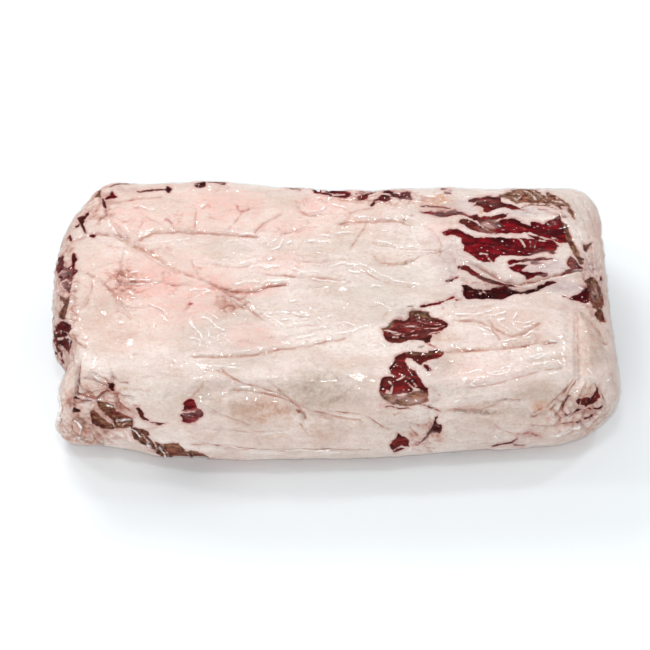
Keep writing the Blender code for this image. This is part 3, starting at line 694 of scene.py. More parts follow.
        ("arc_tan", 0.7, 1.3, ((72, 428), (71, 434), (76, 437), (82, 434), (84, 427), (80, 421))),
        ("edge_shadow_2", 0.6, 2.0, ((104, 378), (110, 382), (113, 386))),
        ("pinch_fan", 0.5, 1.5, ((86, 377), (95, 380), (105, 384))),
        ("strip_rim", 0.8, 1.5, ((160, 455), (175, 460), (195, 462), (215, 461))),
    ),
    "brown": (
        ("tuck_brown", 0.7, 2.2, ((299, 412), (303, 414), (305, 419))),
        ("brow_green", 0.45, 2.6, ((455, 411), (470, 412), (484, 414), (495, 412))),
        ("ring_mark", 0.8, 0.8, ((408, 307), (411, 306), (413, 308))),
        ("dots_1", 0.7, 1.0, ((403, 221.5), (405, 219.5))),
        ("dots_2", 0.6, 1.0, ((404.5, 215), (405.5, 215.5))),
        ("dots_3", 0.6, 1.1, ((411.5, 216), (412.5, 216))),
        ("below_middle", 0.8, 1.6, ((419, 347), (424, 346))),
        ("back_brown_patch", 0.6, 2.2, ((356, 199), (362, 199.5))),
        ("panel_shadow", 0.6, 1.6, ((79, 382), (77, 390), (75, 398))),
        ("star_spot", 0.8, 1.5, ((81, 402), (84, 403))),
        ("pinch_brown", 0.6, 1.8, ((106, 384), (112, 385), (114, 391), (116, 400), (116, 409))),
        ("pit_brown", 0.7, 1.8, ((79, 412), (78, 418), (82, 421))),
        ("foot_brown", 0.5, 1.4, ((68, 439), (80, 440.5), (92, 444), (104, 445))),
    ),
    "cool": (
        ("mark_grey", 0.6, 1.3, ((220, 414), (230, 419), (240, 421), (252, 427))),
    ),
    "grey": (
        ("brow_grey", 0.7, 2.4, ((484, 403), (494, 402), (503, 400), (512, 400))),
        ("upright_grey", 0.4, 1.4, ((579, 335), (579, 350), (579.5, 378))),
        ("wall_grey", 0.45, 2.0, ((582, 313), (590, 322), (600, 331))),
    ),
    "orange": (
        ("upper_orange_1", 0.8, 1.6, ((429, 197), (436, 197), (441, 195), (444, 198))),
        ("upper_orange_2", 0.8, 1.2, ((421, 203), (430, 202), (437, 204), (442, 200), (452, 201))),
        ("upper_orange_3", 0.9, 2.6, ((472, 202), (476, 206), (480, 210), (481, 213))),
        ("upper_orange_4", 0.6, 1.8, ((440, 195), (442, 198))),
    ),
    "membrane": (
        ("flow_grey", 0.6, 2.0, ((450, 246), (466, 262), (486, 274), (510, 281))),
    ),
}

# Soft patches of colour, by kind: share, centre x and y, half length and half width in pixels.
# A veil lies on the meat, every other kind on the fat.
# The tan, cool and grey patches over the front also darken it: painted shade, with its greyer tone
STAIN_AND_SHADE_PATCHES = {
    "tan": (
        ("corner", 0.6, 78, 420, 12, 14),
        ("corner_low", 0.5, 90, 436, 28, 12),
        ("panel", 0.3, 68, 380, 12, 44),
        ("shade_front", 0.3, 300, 425, 150, 34),
        ("shade_front_right", 0.25, 510, 430, 110, 26),
        ("clots", 0.35, 228, 308, 16, 14),
        ("front", 0.85, 262, 412, 44, 18),
        ("front_2", 0.5, 330, 432, 36, 12),
        ("front_3", 0.35, 290, 436, 26, 9),
        ("left", 0.25, 105, 312, 34, 26),
        ("crescent_soft", 0.35, 393, 257, 20, 7),
        ("lobe_brow", 0.55, 480, 409, 34, 8),
        ("right_low", 0.35, 545, 432, 26, 9),
        ("right_wall", 0.3, 590, 345, 18, 34),
        ("loop", 0.25, 515, 338, 30, 8),
        ("low_right", 0.3, 545, 395, 60, 16),
        ("strips", 0.6, 116, 414, 28, 14),
        ("corner_right", 0.75, 590, 396, 18, 18),
        ("back_right", 0.5, 440, 205, 26, 12),
        ("mid_right", 0.5, 440, 336, 18, 10),
        ("left_low", 0.25, 118, 336, 32, 14),
    ),
    "rose": (
        ("corner", 0.5, 94, 392, 26, 16),
        ("back_left", 0.8, 190, 212, 130, 36),
        ("back_middle", 0.7, 320, 215, 90, 34),
        ("left", 0.85, 150, 275, 120, 46),
        ("low_left", 0.6, 130, 330, 70, 34),
        ("front_left", 0.05, 120, 400, 70, 30),
        ("lobe", 0.2, 510, 330, 90, 40),
        ("right_wall", 0.5, 590, 320, 30, 90),
        ("right_rim", 0.7, 597, 235, 16, 50),
    ),
    "membrane": (
        ("flow", 0.5, 452, 262, 22, 26),
        ("strip", 0.7, 470, 206, 30, 10),
        ("upper", 0.9, 528, 212, 34, 6),
        ("upper_low", 0.5, 546, 212, 16, 6),
        ("left", 0.55, 483, 226, 13, 6),
        ("right", 0.95, 545, 266, 34, 10),
        ("low", 1.0, 570, 288, 24, 9),
        ("edge", 0.5, 590, 268, 14, 10),
        ("left_of_lean", 0.4, 440, 238, 16, 10),
    ),
    "pink": (
        ("blush_left", 0.85, 150, 283, 42, 22),
        ("blush_core", 0.6, 155, 276, 14, 10),
        ("blush_pinch", 0.6, 255, 290, 34, 8),
        ("blush_back", 0.45, 225, 205, 50, 20),
        ("blush_mid", 0.4, 280, 262, 40, 16),
        ("blush_front", 0.45, 250, 336, 40, 18),
        ("blush_lobe", 0.15, 515, 320, 30, 14),
        ("blush_lobe_low", 0.3, 480, 372, 60, 20),
        ("blush_front_left", 0.35, 130, 222, 30, 22),
        ("near_lean", 0.4, 440, 230, 22, 14),
        ("blush_mid_left", 0.55, 185, 308, 56, 22),
        ("blush_mid_left_2", 0.6, 212, 285, 36, 14),
        ("blush_back_mid", 0.45, 320, 203, 34, 12),
        ("blush_back_mid_2", 0.4, 282, 230, 34, 12),
    ),
    "orange": (
        ("patch", 0.6, 540, 406, 14, 7),
    ),
    "blood": (
        ("red_patch_low", 0.28, 533, 433, 16, 7),
        ("red_mid_right", 0.15, 436, 348, 16, 6),
    ),
    "cool": (
        ("front_left", 0.35, 150, 396, 64, 26),
        ("front", 0.55, 318, 386, 44, 22),
        ("back", 0.4, 290, 200, 24, 10),
        ("left_back", 0.35, 165, 205, 24, 12),
        ("mid", 0.35, 225, 250, 30, 14),
        ("right_mid", 0.35, 345, 240, 30, 20),
        ("lobe_low", 0.45, 510, 412, 34, 8),
        ("right_wall", 0.3, 598, 338, 12, 26),
        ("upper", 0.3, 370, 300, 50, 30),
    ),
    "grey": (
        ("right_wall", 0.2, 596, 340, 16, 50),
        ("front_mid", 0.5, 322, 390, 62, 26),
        ("mid_right", 0.3, 442, 366, 20, 14),
        ("mid_right_low", 0.3, 462, 390, 40, 13),
        ("front_left", 0.32, 215, 394, 60, 24),
        ("front_right", 0.24, 550, 402, 60, 22),
        ("front_far", 0.2, 430, 425, 90, 20),
        ("corner", 0.16, 92, 420, 34, 22),
    ),
    "brown": (
        ("lip_left_brown", 0.35, 466, 223, 9, 4),
        ("strips", 0.35, 118, 412, 24, 10),
    ),
    "rim": (
        ("right_rim", 0.1, 594, 215, 16, 26),
        ("right_rim_low", 0.2, 604, 262, 8, 34),
        ("right_rim_back", 0.2, 570, 196, 18, 8),
        ("right_rim_foot", 0.45, 613, 375, 9, 34),
    ),
    "veil": (
        ("left_streak", 0.55, 448, 214, 34, 7),
        ("upper_streak", 0.25, 482, 203, 22, 7),
        ("right", 0.8, 552, 262, 30, 14),
        ("middle", 0.06, 410, 328, 30, 14),
        ("middle_low", 0.95, 404, 400, 30, 9),
        ("ribbon", 0.9, 489, 226, 13, 8),
        ("slit", 0.4, 425, 436, 20, 14),
        # Over the gash the pale veil also stands in for its sheen: painted sheen
        ("gash", 0.5, 192, 411, 14, 13),
        ("seam", 0.2, 486, 278, 32, 12),
        ("pocket", 0.75, 597, 292, 5, 14),
        ("left_edge", 0.5, 64, 280, 10, 26),
        ("back", 0.5, 400, 196, 16, 5),
    ),
}

# Colour laid by place alone where the camera sees nothing: kind, share, size in mm, seed
HIDDEN_STAINS = (
    ("rose", 0.8, (60, 50, 26), 81),
    ("pink", 0.55, (34, 30, 16), 82),
    ("tan", 0.4, (44, 30, 14), 83),
    ("cool", 0.5, (50, 40, 20), 84),
    ("grey", 0.25, (30, 24, 12), 85),
    ("membrane", 0.6, (40, 30, 15), 86),
    ("blood", 0.35, (14, 10, 6), 87),
)

# Light of the white surround, and how bright a glossy surface mirrors it
WORLD_LIGHT = 0.655
WORLD_IN_GLOSS = 0.08

FLOOR_SIZE = 12
FLOOR_WHITE = (0.88, 0.93, 0.955, 1)

# Soft boxes: place, size and power, and whether the film mirrors them
LAMP_AIM = (0, 0, 0.04)
LAMPS = (
    ("back_key", (-0.65, 1.15, 1.2), (0.7, 0.4), 10.6, False),
    ("front_fill", (-0.85, -1.45, 0.45), (1.2, 0.5), 9.2, False),
    ("right_fill", (1.5, 0.1, 0.6), (0.5, 0.8), 2.5, False),
    ("glint_over", (-0.05, -0.12, 1.5), (0.22, 0.1), 2.6, True),
    ("glint_left", (-0.75, 0.35, 1.2), (0.14, 0.12), 2.0, True),
    ("glint_right", (0.75, 0.45, 1.2), (0.14, 0.12), 2.0, True),
    ("glint_back", (0.05, 1.45, 0.75), (0.16, 0.05), 0.7, True),
)

# Crests of the film, raised to catch the light and painted milky white as painted highlights, each a line
# in pixels
GLINTS = (
    ((136, 207), (142, 206.5), (148, 210), (154, 210)),
    ((108, 221), (112, 228), (117, 234)),
    ((107, 405), (112, 406)),
    ((117, 421), (124, 418), (131, 419)),
    ((130, 427), (135, 431), (140, 436)),
    ((147, 441), (151, 446)),
    ((160, 446), (166, 455)),
    ((75, 421), (81, 427), (80, 434)),
    ((62, 396), (61, 408), (59, 420)),
    ((88, 370), (95, 377), (102, 382)),
    ((124, 226), (129, 232)),
    ((156, 244), (170, 242), (190, 239)),
    ((183, 243), (187, 248)),
    ((201, 207), (207, 203)),
    ((229, 241), (237, 241)),
    ((240, 234), (253, 234)),
    ((242, 238), (252, 243)),
    ((258, 240), (264, 238)),
    ((268, 246), (272, 242), (278, 238)),
    ((272, 250), (279, 247), (283, 240)),
    ((287, 243), (291, 242)),
    ((308, 241), (320, 242), (330, 242)),
    ((241, 264), (256, 260)),
    ((249, 267), (262, 266), (268, 268)),
    ((268, 266), (280, 266)),
    ((293, 269), (300, 272), (306, 273)),
    ((310, 271), (320, 273)),
    ((236, 285), (245, 282), (258, 282)),
    ((262, 284), (268, 281), (290, 281)),
    ((312, 279), (325, 281), (345, 283)),
    ((333, 205), (345, 208)),
    ((310, 212), (320, 211), (325, 207)),
    ((355, 217), (368, 217), (375, 219), (390, 219)),
    ((332, 234), (345, 233), (354, 233)),
    ((322, 236), (332, 237)),
    ((378, 242), (385, 243), (395, 246), (418, 247)),
    ((345, 264), (358, 265), (366, 266), (375, 272), (385, 277), (395, 281), (420, 285)),
    ((330, 267), (345, 262)),
    ((350, 272), (360, 272)),
    ((372, 287), (382, 287)),
    ((130, 279.5), (140, 279.5), (150, 280.5), (158, 282.5), (150, 284), (140, 284.5), (130, 284)),
    ((131, 273), (140, 271)),
    ((130, 292), (133, 296)),
    ((150, 305), (158, 307), (165, 312), (167, 315)),
    ((163, 317), (165, 319), (168, 322)),
    ((119, 322), (123, 323)),
    ((155, 323), (154, 328)),
    ((196, 298), (202, 293), (208, 292)),
    ((191, 291), (198, 290), (206, 289), (210, 292)),
    ((190, 319), (192, 324), (196, 330), (200, 334), (203, 340)),
    ((190, 323), (194, 328)),
    ((203, 318), (210, 320), (216, 326), (219, 329), (224, 330)),
    ((213, 316), (218, 320)),
    ((209, 330), (210, 337), (215, 339), (217, 341)),
    ((218, 336), (219, 342)),
    ((225, 337), (228, 342)),
    ((191, 338), (200, 341), (200, 346)),
    ((240, 323), (244, 321)),
    ((238, 353), (250, 351)),
    ((200, 355), (218, 355)),
    ((264, 314), (275, 320), (283, 326)),
    ((265, 313), (280, 312), (290, 313), (300, 315)),
    ((283, 320), (290, 319.5), (306, 319.5)),
    ((286, 325), (290, 326), (293, 323.5), (310, 323)),
    ((286, 336), (294, 333), (300, 332)),
    ((298, 338), (306, 337), (314, 334)),
    ((290, 302), (298, 301), (303, 303)),
    ((318, 318), (321, 320)),
    ((328, 317), (333, 316)),
    ((338, 323), (348, 323), (354, 326), (356, 330), (350, 332), (340, 334), (331, 335)),
    ((357, 329), (367, 326)),
    ((378, 303), (384, 306), (390, 310)),
    ((215, 366), (236, 368)),
    ((240, 387), (250, 387)),
    ((164, 372), (168, 373)),
    ((474, 315), (485, 313), (491, 311)),
    ((490, 317), (505, 312)),
    ((497, 320), (501, 325), (508, 329)),
    ((497, 320), (504, 319)),
    ((512, 321), (514, 328)),
    ((513, 318), (517, 314)),
    ((518, 322), (525, 324), (535, 320)),
    ((516, 329), (520, 331)),
    ((524, 328), (530, 326)),
    ((478, 328), (484, 331)),
    ((480, 325), (488, 328), (494, 334)),
    ((486, 333), (487, 338)),
    ((455, 314), (470, 315)),
    ((524, 336), (530, 332), (538, 333)),
    ((524, 338), (532, 337)),
    ((495, 342), (505, 341), (516, 339)),
    ((530, 357), (540, 355), (546, 356), (538, 359), (530, 358)),
    ((470, 384), (475, 381), (480, 379)),
    ((470, 384), (476, 386), (485, 384)),
    ((488, 374), (495, 372), (503, 370), (510, 369), (508, 372), (500, 374), (490, 375)),
    ((505, 367), (515, 367)),
    ((527, 367), (540, 364), (556, 361)),
    ((560, 365), (564, 366), (566, 369)),
    ((549, 374), (556, 373)),
    ((556, 434), (567, 430), (578, 425)),
    ((448, 400), (456, 401), (460, 399)),
    ((495, 434), (499, 438)),
    ((550, 341), (560, 342)),
    ((225, 444), (240, 448), (250, 449)),
    ((250, 449.5), (300, 450), (345, 450)),
    ((383, 345), (385, 347)),
    ((370, 346), (380, 346)),
    ((587, 369), (592, 374)),
    ((606, 381), (609, 378)),
)


def along_side(position, values):
    """A smooth curve through evenly spaced values, read at positions from -1 to 1."""
    values = np.array(values, float) * MM
    last = len(values) - 1
    steps = (np.clip(position, -1, 1) + 1) / 2 * last
    first = np.clip(steps.astype(int), 0, last - 1)
    part = steps - first
    before = values[np.clip(first - 1, 0, last)]
    start = values[first]
    end = values[first + 1]
    after = values[np.clip(first + 2, 0, last)]
    linear = (end - before) * part
    square = (2 * before - 5 * start + 4 * end - after) * part**2
    cube = (3 * start - before - 3 * end + after) * part**3
    return start + (linear + square + cube) / 2


def rounded_block(unit):
    """Turns points on the cube from -1 to 1 into points on the bagged block."""
    x = unit[:, 0] * LENGTH / 2
    y = unit[:, 1] * WIDTH / 2
    upper = unit[:, 2] > 0
    round_x = np.where(x < 0, ROUND_LEFT, ROUND_RIGHT)
    round_y = np.where(y < 0, ROUND_FRONT, ROUND_BACK)
    round_z = np.where(upper, TOP_HEIGHT - WAIST_HEIGHT, UNDER_DEPTH)
    core_x = np.clip(x, round_x - LENGTH / 2, LENGTH / 2 - round_x)
    core_y = np.clip(y, round_y - WIDTH / 2, WIDTH / 2 - round_y)
    way = np.stack([(x - core_x) / round_x, (y - core_y) / round_y, unit[:, 2]], axis=1)
    way /= np.linalg.norm(way, axis=1)[:, None]
    x = core_x + round_x * way[:, 0]
    y = core_y + round_y * way[:, 1]
    z = WAIST_HEIGHT + round_z * way[:, 2]
    share_x = x / (LENGTH / 2)
    share_y = y / (WIDTH / 2)
    side_x = np.where(x < 0, -along_side(share_y, SWELL_LEFT), along_side(share_y, SWELL_RIGHT))
    side_y = np.where(y < 0, -along_side(share_x, SWELL_FRONT), along_side(share_x, SWELL_BACK))
    crown = np.clip(1 - share_x**2, 0, 1) * np.clip(1 - share_y**2, 0, 1)
    z += np.where(upper, CROWN * crown, 0)
    points = np.stack([x + side_x * np.abs(share_x), y + side_y * np.abs(share_y), z], axis=1)
    middle = (points.min(axis=0) + points.max(axis=0)) / 2
    return points - middle * (1, 1, 0)


def bump(share):
    """1 at the middle of a feature, falling smoothly to 0 at share 1."""
    return np.clip(1 - share**2, 0, 1) ** 2


def ramp(value, low, high):
    """0 below low, 1 above high and smooth between."""
    share = np.clip((value - low) / (high - low), 0, 1)
    return share * share * (3 - 2 * share)


def side_distance(points, line):
    """Distance from each flat point to a chain of straight runs, below nought on one side of it."""
    line = np.array(line, float)
    near = np.all((points > line.min(axis=0) - REACH) & (points < line.max(axis=0) + REACH), axis=1)
    close = points[near]
    side = np.ones(len(close))
    nearest = np.full(len(close), FAR)
    for start, end in zip(line[:-1], line[1:]):
        run = end - start
        offset = close - start
        along = np.clip(offset @ run / (run @ run), 0, 1)
        gap = np.linalg.norm(offset - along[:, None] * run, axis=1)
        turn = run[0] * offset[:, 1] - run[1] * offset[:, 0]
        side = np.where(gap < nearest, np.where(turn < 0, -1, 1), side)
        nearest = np.minimum(nearest, gap)
    distance = np.full(len(points), FAR)
    distance[near] = nearest * side
    return distance


def line_distance(points, line):
    """Distance from each flat point to a chain of straight runs."""
    return np.abs(side_distance(points, line))


def outline_distance(points, outline):
    """Distance from each flat point to a closed outline, below nought inside it."""
    distance = line_distance(points, outline + outline[:1])
    near = distance < FAR
    x, y = points[near].T
    inside = np.zeros(len(x), bool)
    for (x0, y0), (x1, y1) in zip(outline, outline[1:] + outline[:1]):
        crosses = (y0 > y) != (y1 > y)
        if y0 != y1:
            inside ^= crosses & (x < (x1 - x0) * (y - y0) / (y1 - y0) + x0)
    distance[near] = np.where(inside, -distance[near], distance[near])
    return distance


# Random slopes that the smooth random values are made from
SLOPES = np.random.default_rng(5).normal(size=(4096, 3))


def grain(points, size, seed):
    """Smooth random values from about -1 to 1, with their size in mm along each axis."""
    spots = points / (np.array(size) * MM) + seed * np.array((3.1, 7.7, 5.3))
    cell = np.floor(spots).astype(int)
    part = spots - cell
    ease = part**3 * (part * (part * 6 - 15) + 10)
    total = np.zeros(len(points))
    for corner in np.ndindex(2, 2, 2):
        mixed = (cell[:, 0] + corner[0]) * 73856093
        mixed ^= (cell[:, 1] + corner[1]) * 19349663
        mixed ^= (cell[:, 2] + corner[2]) * 83492791
        mixed ^= mixed >> 13
        slopes = SLOPES[(mixed * 1274126177 >> 9) % len(SLOPES)]
        weight = np.prod(np.where(corner, ease, 1 - ease), axis=1)
        total += weight * ((part - corner) * slopes).sum(axis=1)
    return total


def layered(points, layers):
    """Smooth random values of several sizes added up."""
    return sum(grain(points, size, seed) * reach for size, seed, reach in layers)


def wrinkle(points, size, seed):
    """Narrow crests, 1 on a crest and 0 in between."""
    return np.clip(1 - np.abs(grain(points, size, seed)) * 2.2, 0, 1) ** 2


def gridded_block(rows_by_axis):
    """A cube from -1 to 1 with the wanted rows of faces along each axis."""
    bpy.ops.object.select_all(action="DESELECT")
    bpy.ops.mesh.primitive_cube_add(size=2)
    block = bpy.context.object
    bpy.ops.object.mode_set(mode="EDIT")
    halves = [(axis, 2) for axis in range(3)]
    for axis, rows in halves + [(axis, rows // 2) for axis, rows in enumerate(rows_by_axis)]:
        bpy.ops.mesh.select_all(action="DESELECT")
        cage = bmesh.from_edit_mesh(block.data)
        for edge in cage.edges:
            if abs(edge.verts[0].co[axis] - edge.verts[1].co[axis]) > 1e-4:
                edge.select = True
        bmesh.update_edit_mesh(block.data)
        bpy.ops.mesh.subdivide(number_cuts=rows - 1)
    bpy.ops.object.mode_set(mode="OBJECT")
    return block


def select_only(piece):
    """Makes a piece the one that the next operators act on."""
    bpy.ops.object.select_all(action="DESELECT")
    piece.select_set(True)
    bpy.context.view_layer.objects.active = piece


def refine(block, wanted):
    """Halves the faces that have a wanted corner."""
    corners = np.zeros(len(block.data.loops), int)
    block.data.loops.foreach_get("vertex_index", corners)
    starts = np.zeros(len(block.data.polygons), int)
    block.data.polygons.foreach_get("loop_start", starts)
    picked = np.add.reduceat(wanted[corners].astype(int), starts) > 0
    select_only(block)
    bpy.ops.object.mode_set(mode="EDIT")
    bpy.ops.mesh.select_mode(type="FACE")
    bpy.ops.mesh.select_all(action="DESELECT")
    bpy.ops.object.mode_set(mode="OBJECT")
    block.data.polygons.foreach_set("select", picked)
    bpy.ops.object.mode_set(mode="EDIT")
    bpy.ops.mesh.subdivide(number_cuts=1)
    bpy.ops.object.mode_set(mode="OBJECT")


def read_points(block):
    """The place of every vertex."""
    points = np.zeros(len(block.data.vertices) * 3)
    block.data.vertices.foreach_get("co", points)
    return points.reshape(-1, 3)


def read_normals(block, points):
    """Which way every vertex faces when the mesh takes these places."""
    block.data.vertices.foreach_set("co", points.ravel())
    block.data.update()
    normals = np.zeros(len(points) * 3)
    block.data.vertex_normals.foreach_get("vector", normals)
    return normals.reshape(-1, 3)


def drawn_corners(points):
    """The block with its corners drawn out or in."""
    moved = points.copy()
    for _, centre, reach, push in CORNERS:
        share = np.linalg.norm((points / MM - centre) / reach, axis=1)
        moved += bump(share)[:, None] * np.array(push) * MM
    return moved


def block_relief(points):
    """Lobes and long folds that fat, meat and bag share."""
    plan = points[:, :2] / MM
    rise = np.zeros(len(points))
    for _, x, y, half_length, half_width, height in LOBES:
        rise += height * bump(np.hypot((plan[:, 0] - x) / half_length, (plan[:, 1] - y) / half_width))
    for _, depth, half_width, line in CREASES:
        rise -= depth * bump(line_distance(plan, line) / half_width)
    above_waist = (points[:, 2] - WAIST_HEIGHT / 2) / WAIST_HEIGHT
    return rise * MM * np.clip(above_waist, 0, 1)


def seen_pixels(points, normals):
    """Frame pixel of each point, and how far that point faces the camera."""
    way = points - VIEW_PLACE
    depth = way @ VIEW_AHEAD
    zoom = LENS_MM / SENSOR_MM * FRAME_PIXELS
    across = FRAME_PIXELS / 2 + zoom * way[:, 0] / depth
    down = FRAME_PIXELS / 2 - zoom * (way @ VIEW_UP) / depth
    facing = -(normals * way).sum(axis=1) / np.linalg.norm(way, axis=1)
    return np.stack([across, down], axis=1), facing


class Block:
    """Places, directions and frame pixels of the shared grid."""

    def __init__(self, block):
        unit = read_points(block)
        self.rest = drawn_corners(rounded_block(unit))
        self.out = read_normals(block, self.rest)
        block.data.vertices.foreach_set("co", unit.ravel())
        self.relief = block_relief(self.rest)
        pixels, facing = seen_pixels(self.rest + self.out * self.relief[:, None], self.out)
        wander = [layered(self.rest, layers) for layers in (PIXEL_WANDER_ACROSS, PIXEL_WANDER_DOWN)]
        self.pixels = pixels + np.stack(wander, axis=1)
        self.seen = ramp(facing, -0.2, -0.06)
        self.count = len(self.rest)


def open_meat(base):
    """Distance in mm from the open meat, below nought inside it, with its shares of brown and dark."""
    edge = np.full(base.count, NO_MEAT)
    brown = np.zeros(base.count)
    dark = np.zeros(base.count)
    jagged = grain(base.rest, (2.5, 1.8, 1.8), 12) * 0.35 - 0.25
    shapes = [(b, d, outline_distance(base.pixels, outline)) for _, b, d, outline in WINDOWS]
    uneven = np.clip(0.7 + 0.6 * grain(base.rest, (6, 5, 5), 13), 0.15, 1.1)
    shapes += [(b, d, line_distance(base.pixels, line) - half * uneven) for _, half, b, d, line in CUT_AND_SHADE_LINES]
    for brown_share, dark_share, distance in shapes:
        closer = distance < edge
        edge = np.where(closer, distance, edge)
        brown = np.where(closer, brown_share, brown)
        dark = np.where(closer, dark_share, dark)
    for _, half, line in STRANDS:
        edge = np.maximum(edge, half - line_distance(base.pixels, line))
    edge = np.where(base.seen > 0, edge + jagged, NO_MEAT) / PIXELS_PER_MM
    ends = end_meat(base)
    closer = ends < edge
    return np.minimum(edge, ends), np.where(closer, END_BROWN, brown), np.where(closer, END_DARK, dark)


def end_meat(base):
    """Distance in mm from the cut meat of the two ends and the back, found by place alone."""
    x, y, z = (base.rest / MM).T
    ragged = layered(base.rest, RAGGED_ENDS)
    left_oval = np.hypot((y - LEFT_MEAT_Y) / 2.4, z - LEFT_MEAT_Z) - 28
    left = np.maximum(x - LEFT_MEAT_X + ragged * 0.6, left_oval + ragged)
    right_oval = np.hypot((y - RIGHT_MEAT_Y) / 2.2, z - RIGHT_MEAT_Z) - 19
    right = np.maximum(RIGHT_MEAT_X - x + ragged * 0.6, right_oval + ragged)
    half = grain(base.rest, (55, 40, 40), 23) * 12 + 1
    back_strip = np.abs(z - BACK_MEAT_Z - 9 * np.sin(x / 31)) - half
    back = np.maximum(BACK_MEAT_Y - y + ragged * 0.5, back_strip + ragged)
    seams = np.abs(grain(base.rest, (24, 24, 9), 24)) * 14 - 1.4
    return np.maximum(np.minimum(np.minimum(left, right), back), -seams)


def soft_relief(base):
    """Soft lumps in mm that fat, meat and bag share."""
    return layered(base.rest, SOFT_LUMPS)


def fold_relief(base):
    """Traced folds, puckers and hidden folds in mm, and how deep in a fold each point is: its painted
    shade.
    """
    rise = np.zeros(base.count)
    painted_fold_shade = np.zeros(base.count)
    for _, depth, half_width, line in FOLDS:
        distance = side_distance(base.pixels, line)
        share = distance / half_width / np.where(distance > 0, SHALLOW_SIDE, STEEP_SIDE)
        rise -= 1.1 * depth * bump(share)
        painted_fold_shade = np.maximum(painted_fold_shade, depth / 1.6 * bump(distance / half_width / 0.42))
    fading = np.clip(0.75 + 0.8 * grain(base.rest, (9, 7, 7), 36), 0.15, 1.2)
    tucks, grooves = tuck_grooves(base)
    painted_fold_shade = np.maximum(painted_fold_shade * base.seen * fading, 0.9 * tucks * grooves)
    patchy = ramp(grain(base.rest, (40, 40, 30), 76), -0.3, 0.4)
    long_folds = (1 - base.seen) * wrinkle(base.rest, (34, 20, 11), 75) * patchy
    painted_fold_shade = np.maximum(painted_fold_shade, 0.5 * long_folds)
    return rise * base.seen - TUCK_DEPTH * tucks * grooves - LONG_FOLD_DEPTH * long_folds, painted_fold_shade


def tuck_grooves(base):
    """How puckered each point is, round the corners and ends and where it shows, and its grooves."""
    zone = np.zeros(base.count)
    for _, x, y, half_length, half_width in TUCKED:
        offset = (base.pixels - (x, y)) / (half_length, half_width)
        zone = np.maximum(zone, ramp(-np.linalg.norm(offset, axis=1), -1.2, -0.5) * base.seen)
    x, y, _ = np.abs(base.rest / MM).T
    corner = ramp(x, 196, 218) * ramp(y, 70, 98)
    ends = 0.45 * ramp(x, 205, 222) * ramp(grain(base.rest, (30, 30, 20), 74), -0.3, 0.5)
    hidden = np.maximum(corner, ends) * (1 - base.seen)
    grooves = np.maximum(wrinkle(base.rest, (11, 7, 8), 71), 0.7 * wrinkle(base.rest, (6, 5, 5), 72))
    return np.maximum(zone, hidden), grooves


def fat_height(base, folds, edge):
    """How far the fat lies over the block in mm, with a low lip along open meat."""
    fine = grain(base.rest, (4.5, 3, 3), 33) * 0.2
    lip = 0.7 * bump((edge - 1.6) / 3)
    return folds + soft_relief(base) + fine + lip


def meat_height(base, folds, edge, dark):
    """How far the meat lies over the block in mm, with its fibres along the muscle, deeper under fat."""
    fibres = layered(base.rest, FIBRES)
    return folds + soft_relief(base) + fibres - MEAT_DEPTH / MM - dark * 1.4 - 2.2 * ramp(edge, 1.5, 7)


def glint_crests(base):
    """Share of the film's crests that catch the light, painted milky white there as painted highlights."""
    crests = np.zeros(base.count)
    for line in GLINTS:
        crests = np.maximum(crests, bump(line_distance(base.pixels, line) / 1.5))
    crests *= np.clip(1.0 + 0.8 * grain(base.rest, (5, 3, 3), 44), 0.0, 1.0)
    # Milky lines beside the folds, on their light side: painted highlights
    painted_highlight_beside_folds = np.zeros(base.count)
    for _, _, half_width, line in FOLDS:
        offset = side_distance(base.pixels, line) - half_width * 0.45
        painted_highlight_beside_folds = np.maximum(painted_highlight_beside_folds, bump(offset))
    painted_highlight_beside_folds *= 0.5 * ramp(grain(base.rest, (14, 9, 9), 45), -0.1, 0.5)
    return np.maximum(crests, painted_highlight_beside_folds) * base.seen


def bag_height(base, folds, edge, glints):
    """How far the bag lies over the block in mm: tight on the fat, bridging folds and open meat."""
    patchy = ramp(grain(base.rest, (45, 30, 30), 41), -0.5, 0.6)
    crests = wrinkle(base.rest, (22, 5, 6), 42) * 0.5 * patchy
    small = wrinkle(base.rest, (8, 3.5, 4), 43) * 0.3 * (0.3 + 0.7 * (1 - patchy))
    sag = 0.7 * ramp(-edge, 0.3, 4)
    fat = fat_height(base, folds, edge)
    tight = fat + BAG_GAP / MM - folds * 0.3
    return np.maximum(tight, fat + 0.4) + crests + small + 0.45 * glints - sag


def line_marks(base):
    """Whether a drawn line or a fold runs close by each point."""
    marked = np.zeros(base.count, bool)
    for lines in STAIN_AND_SHADE_LINES.values():
        for _, _, half, line in lines:
            marked |= line_distance(base.pixels, line) < max(half, MARK_REACH)
    for _, _, _, line in FOLDS:
        marked |= line_distance(base.pixels, line) < MARK_REACH
    return marked & (base.seen > 0)


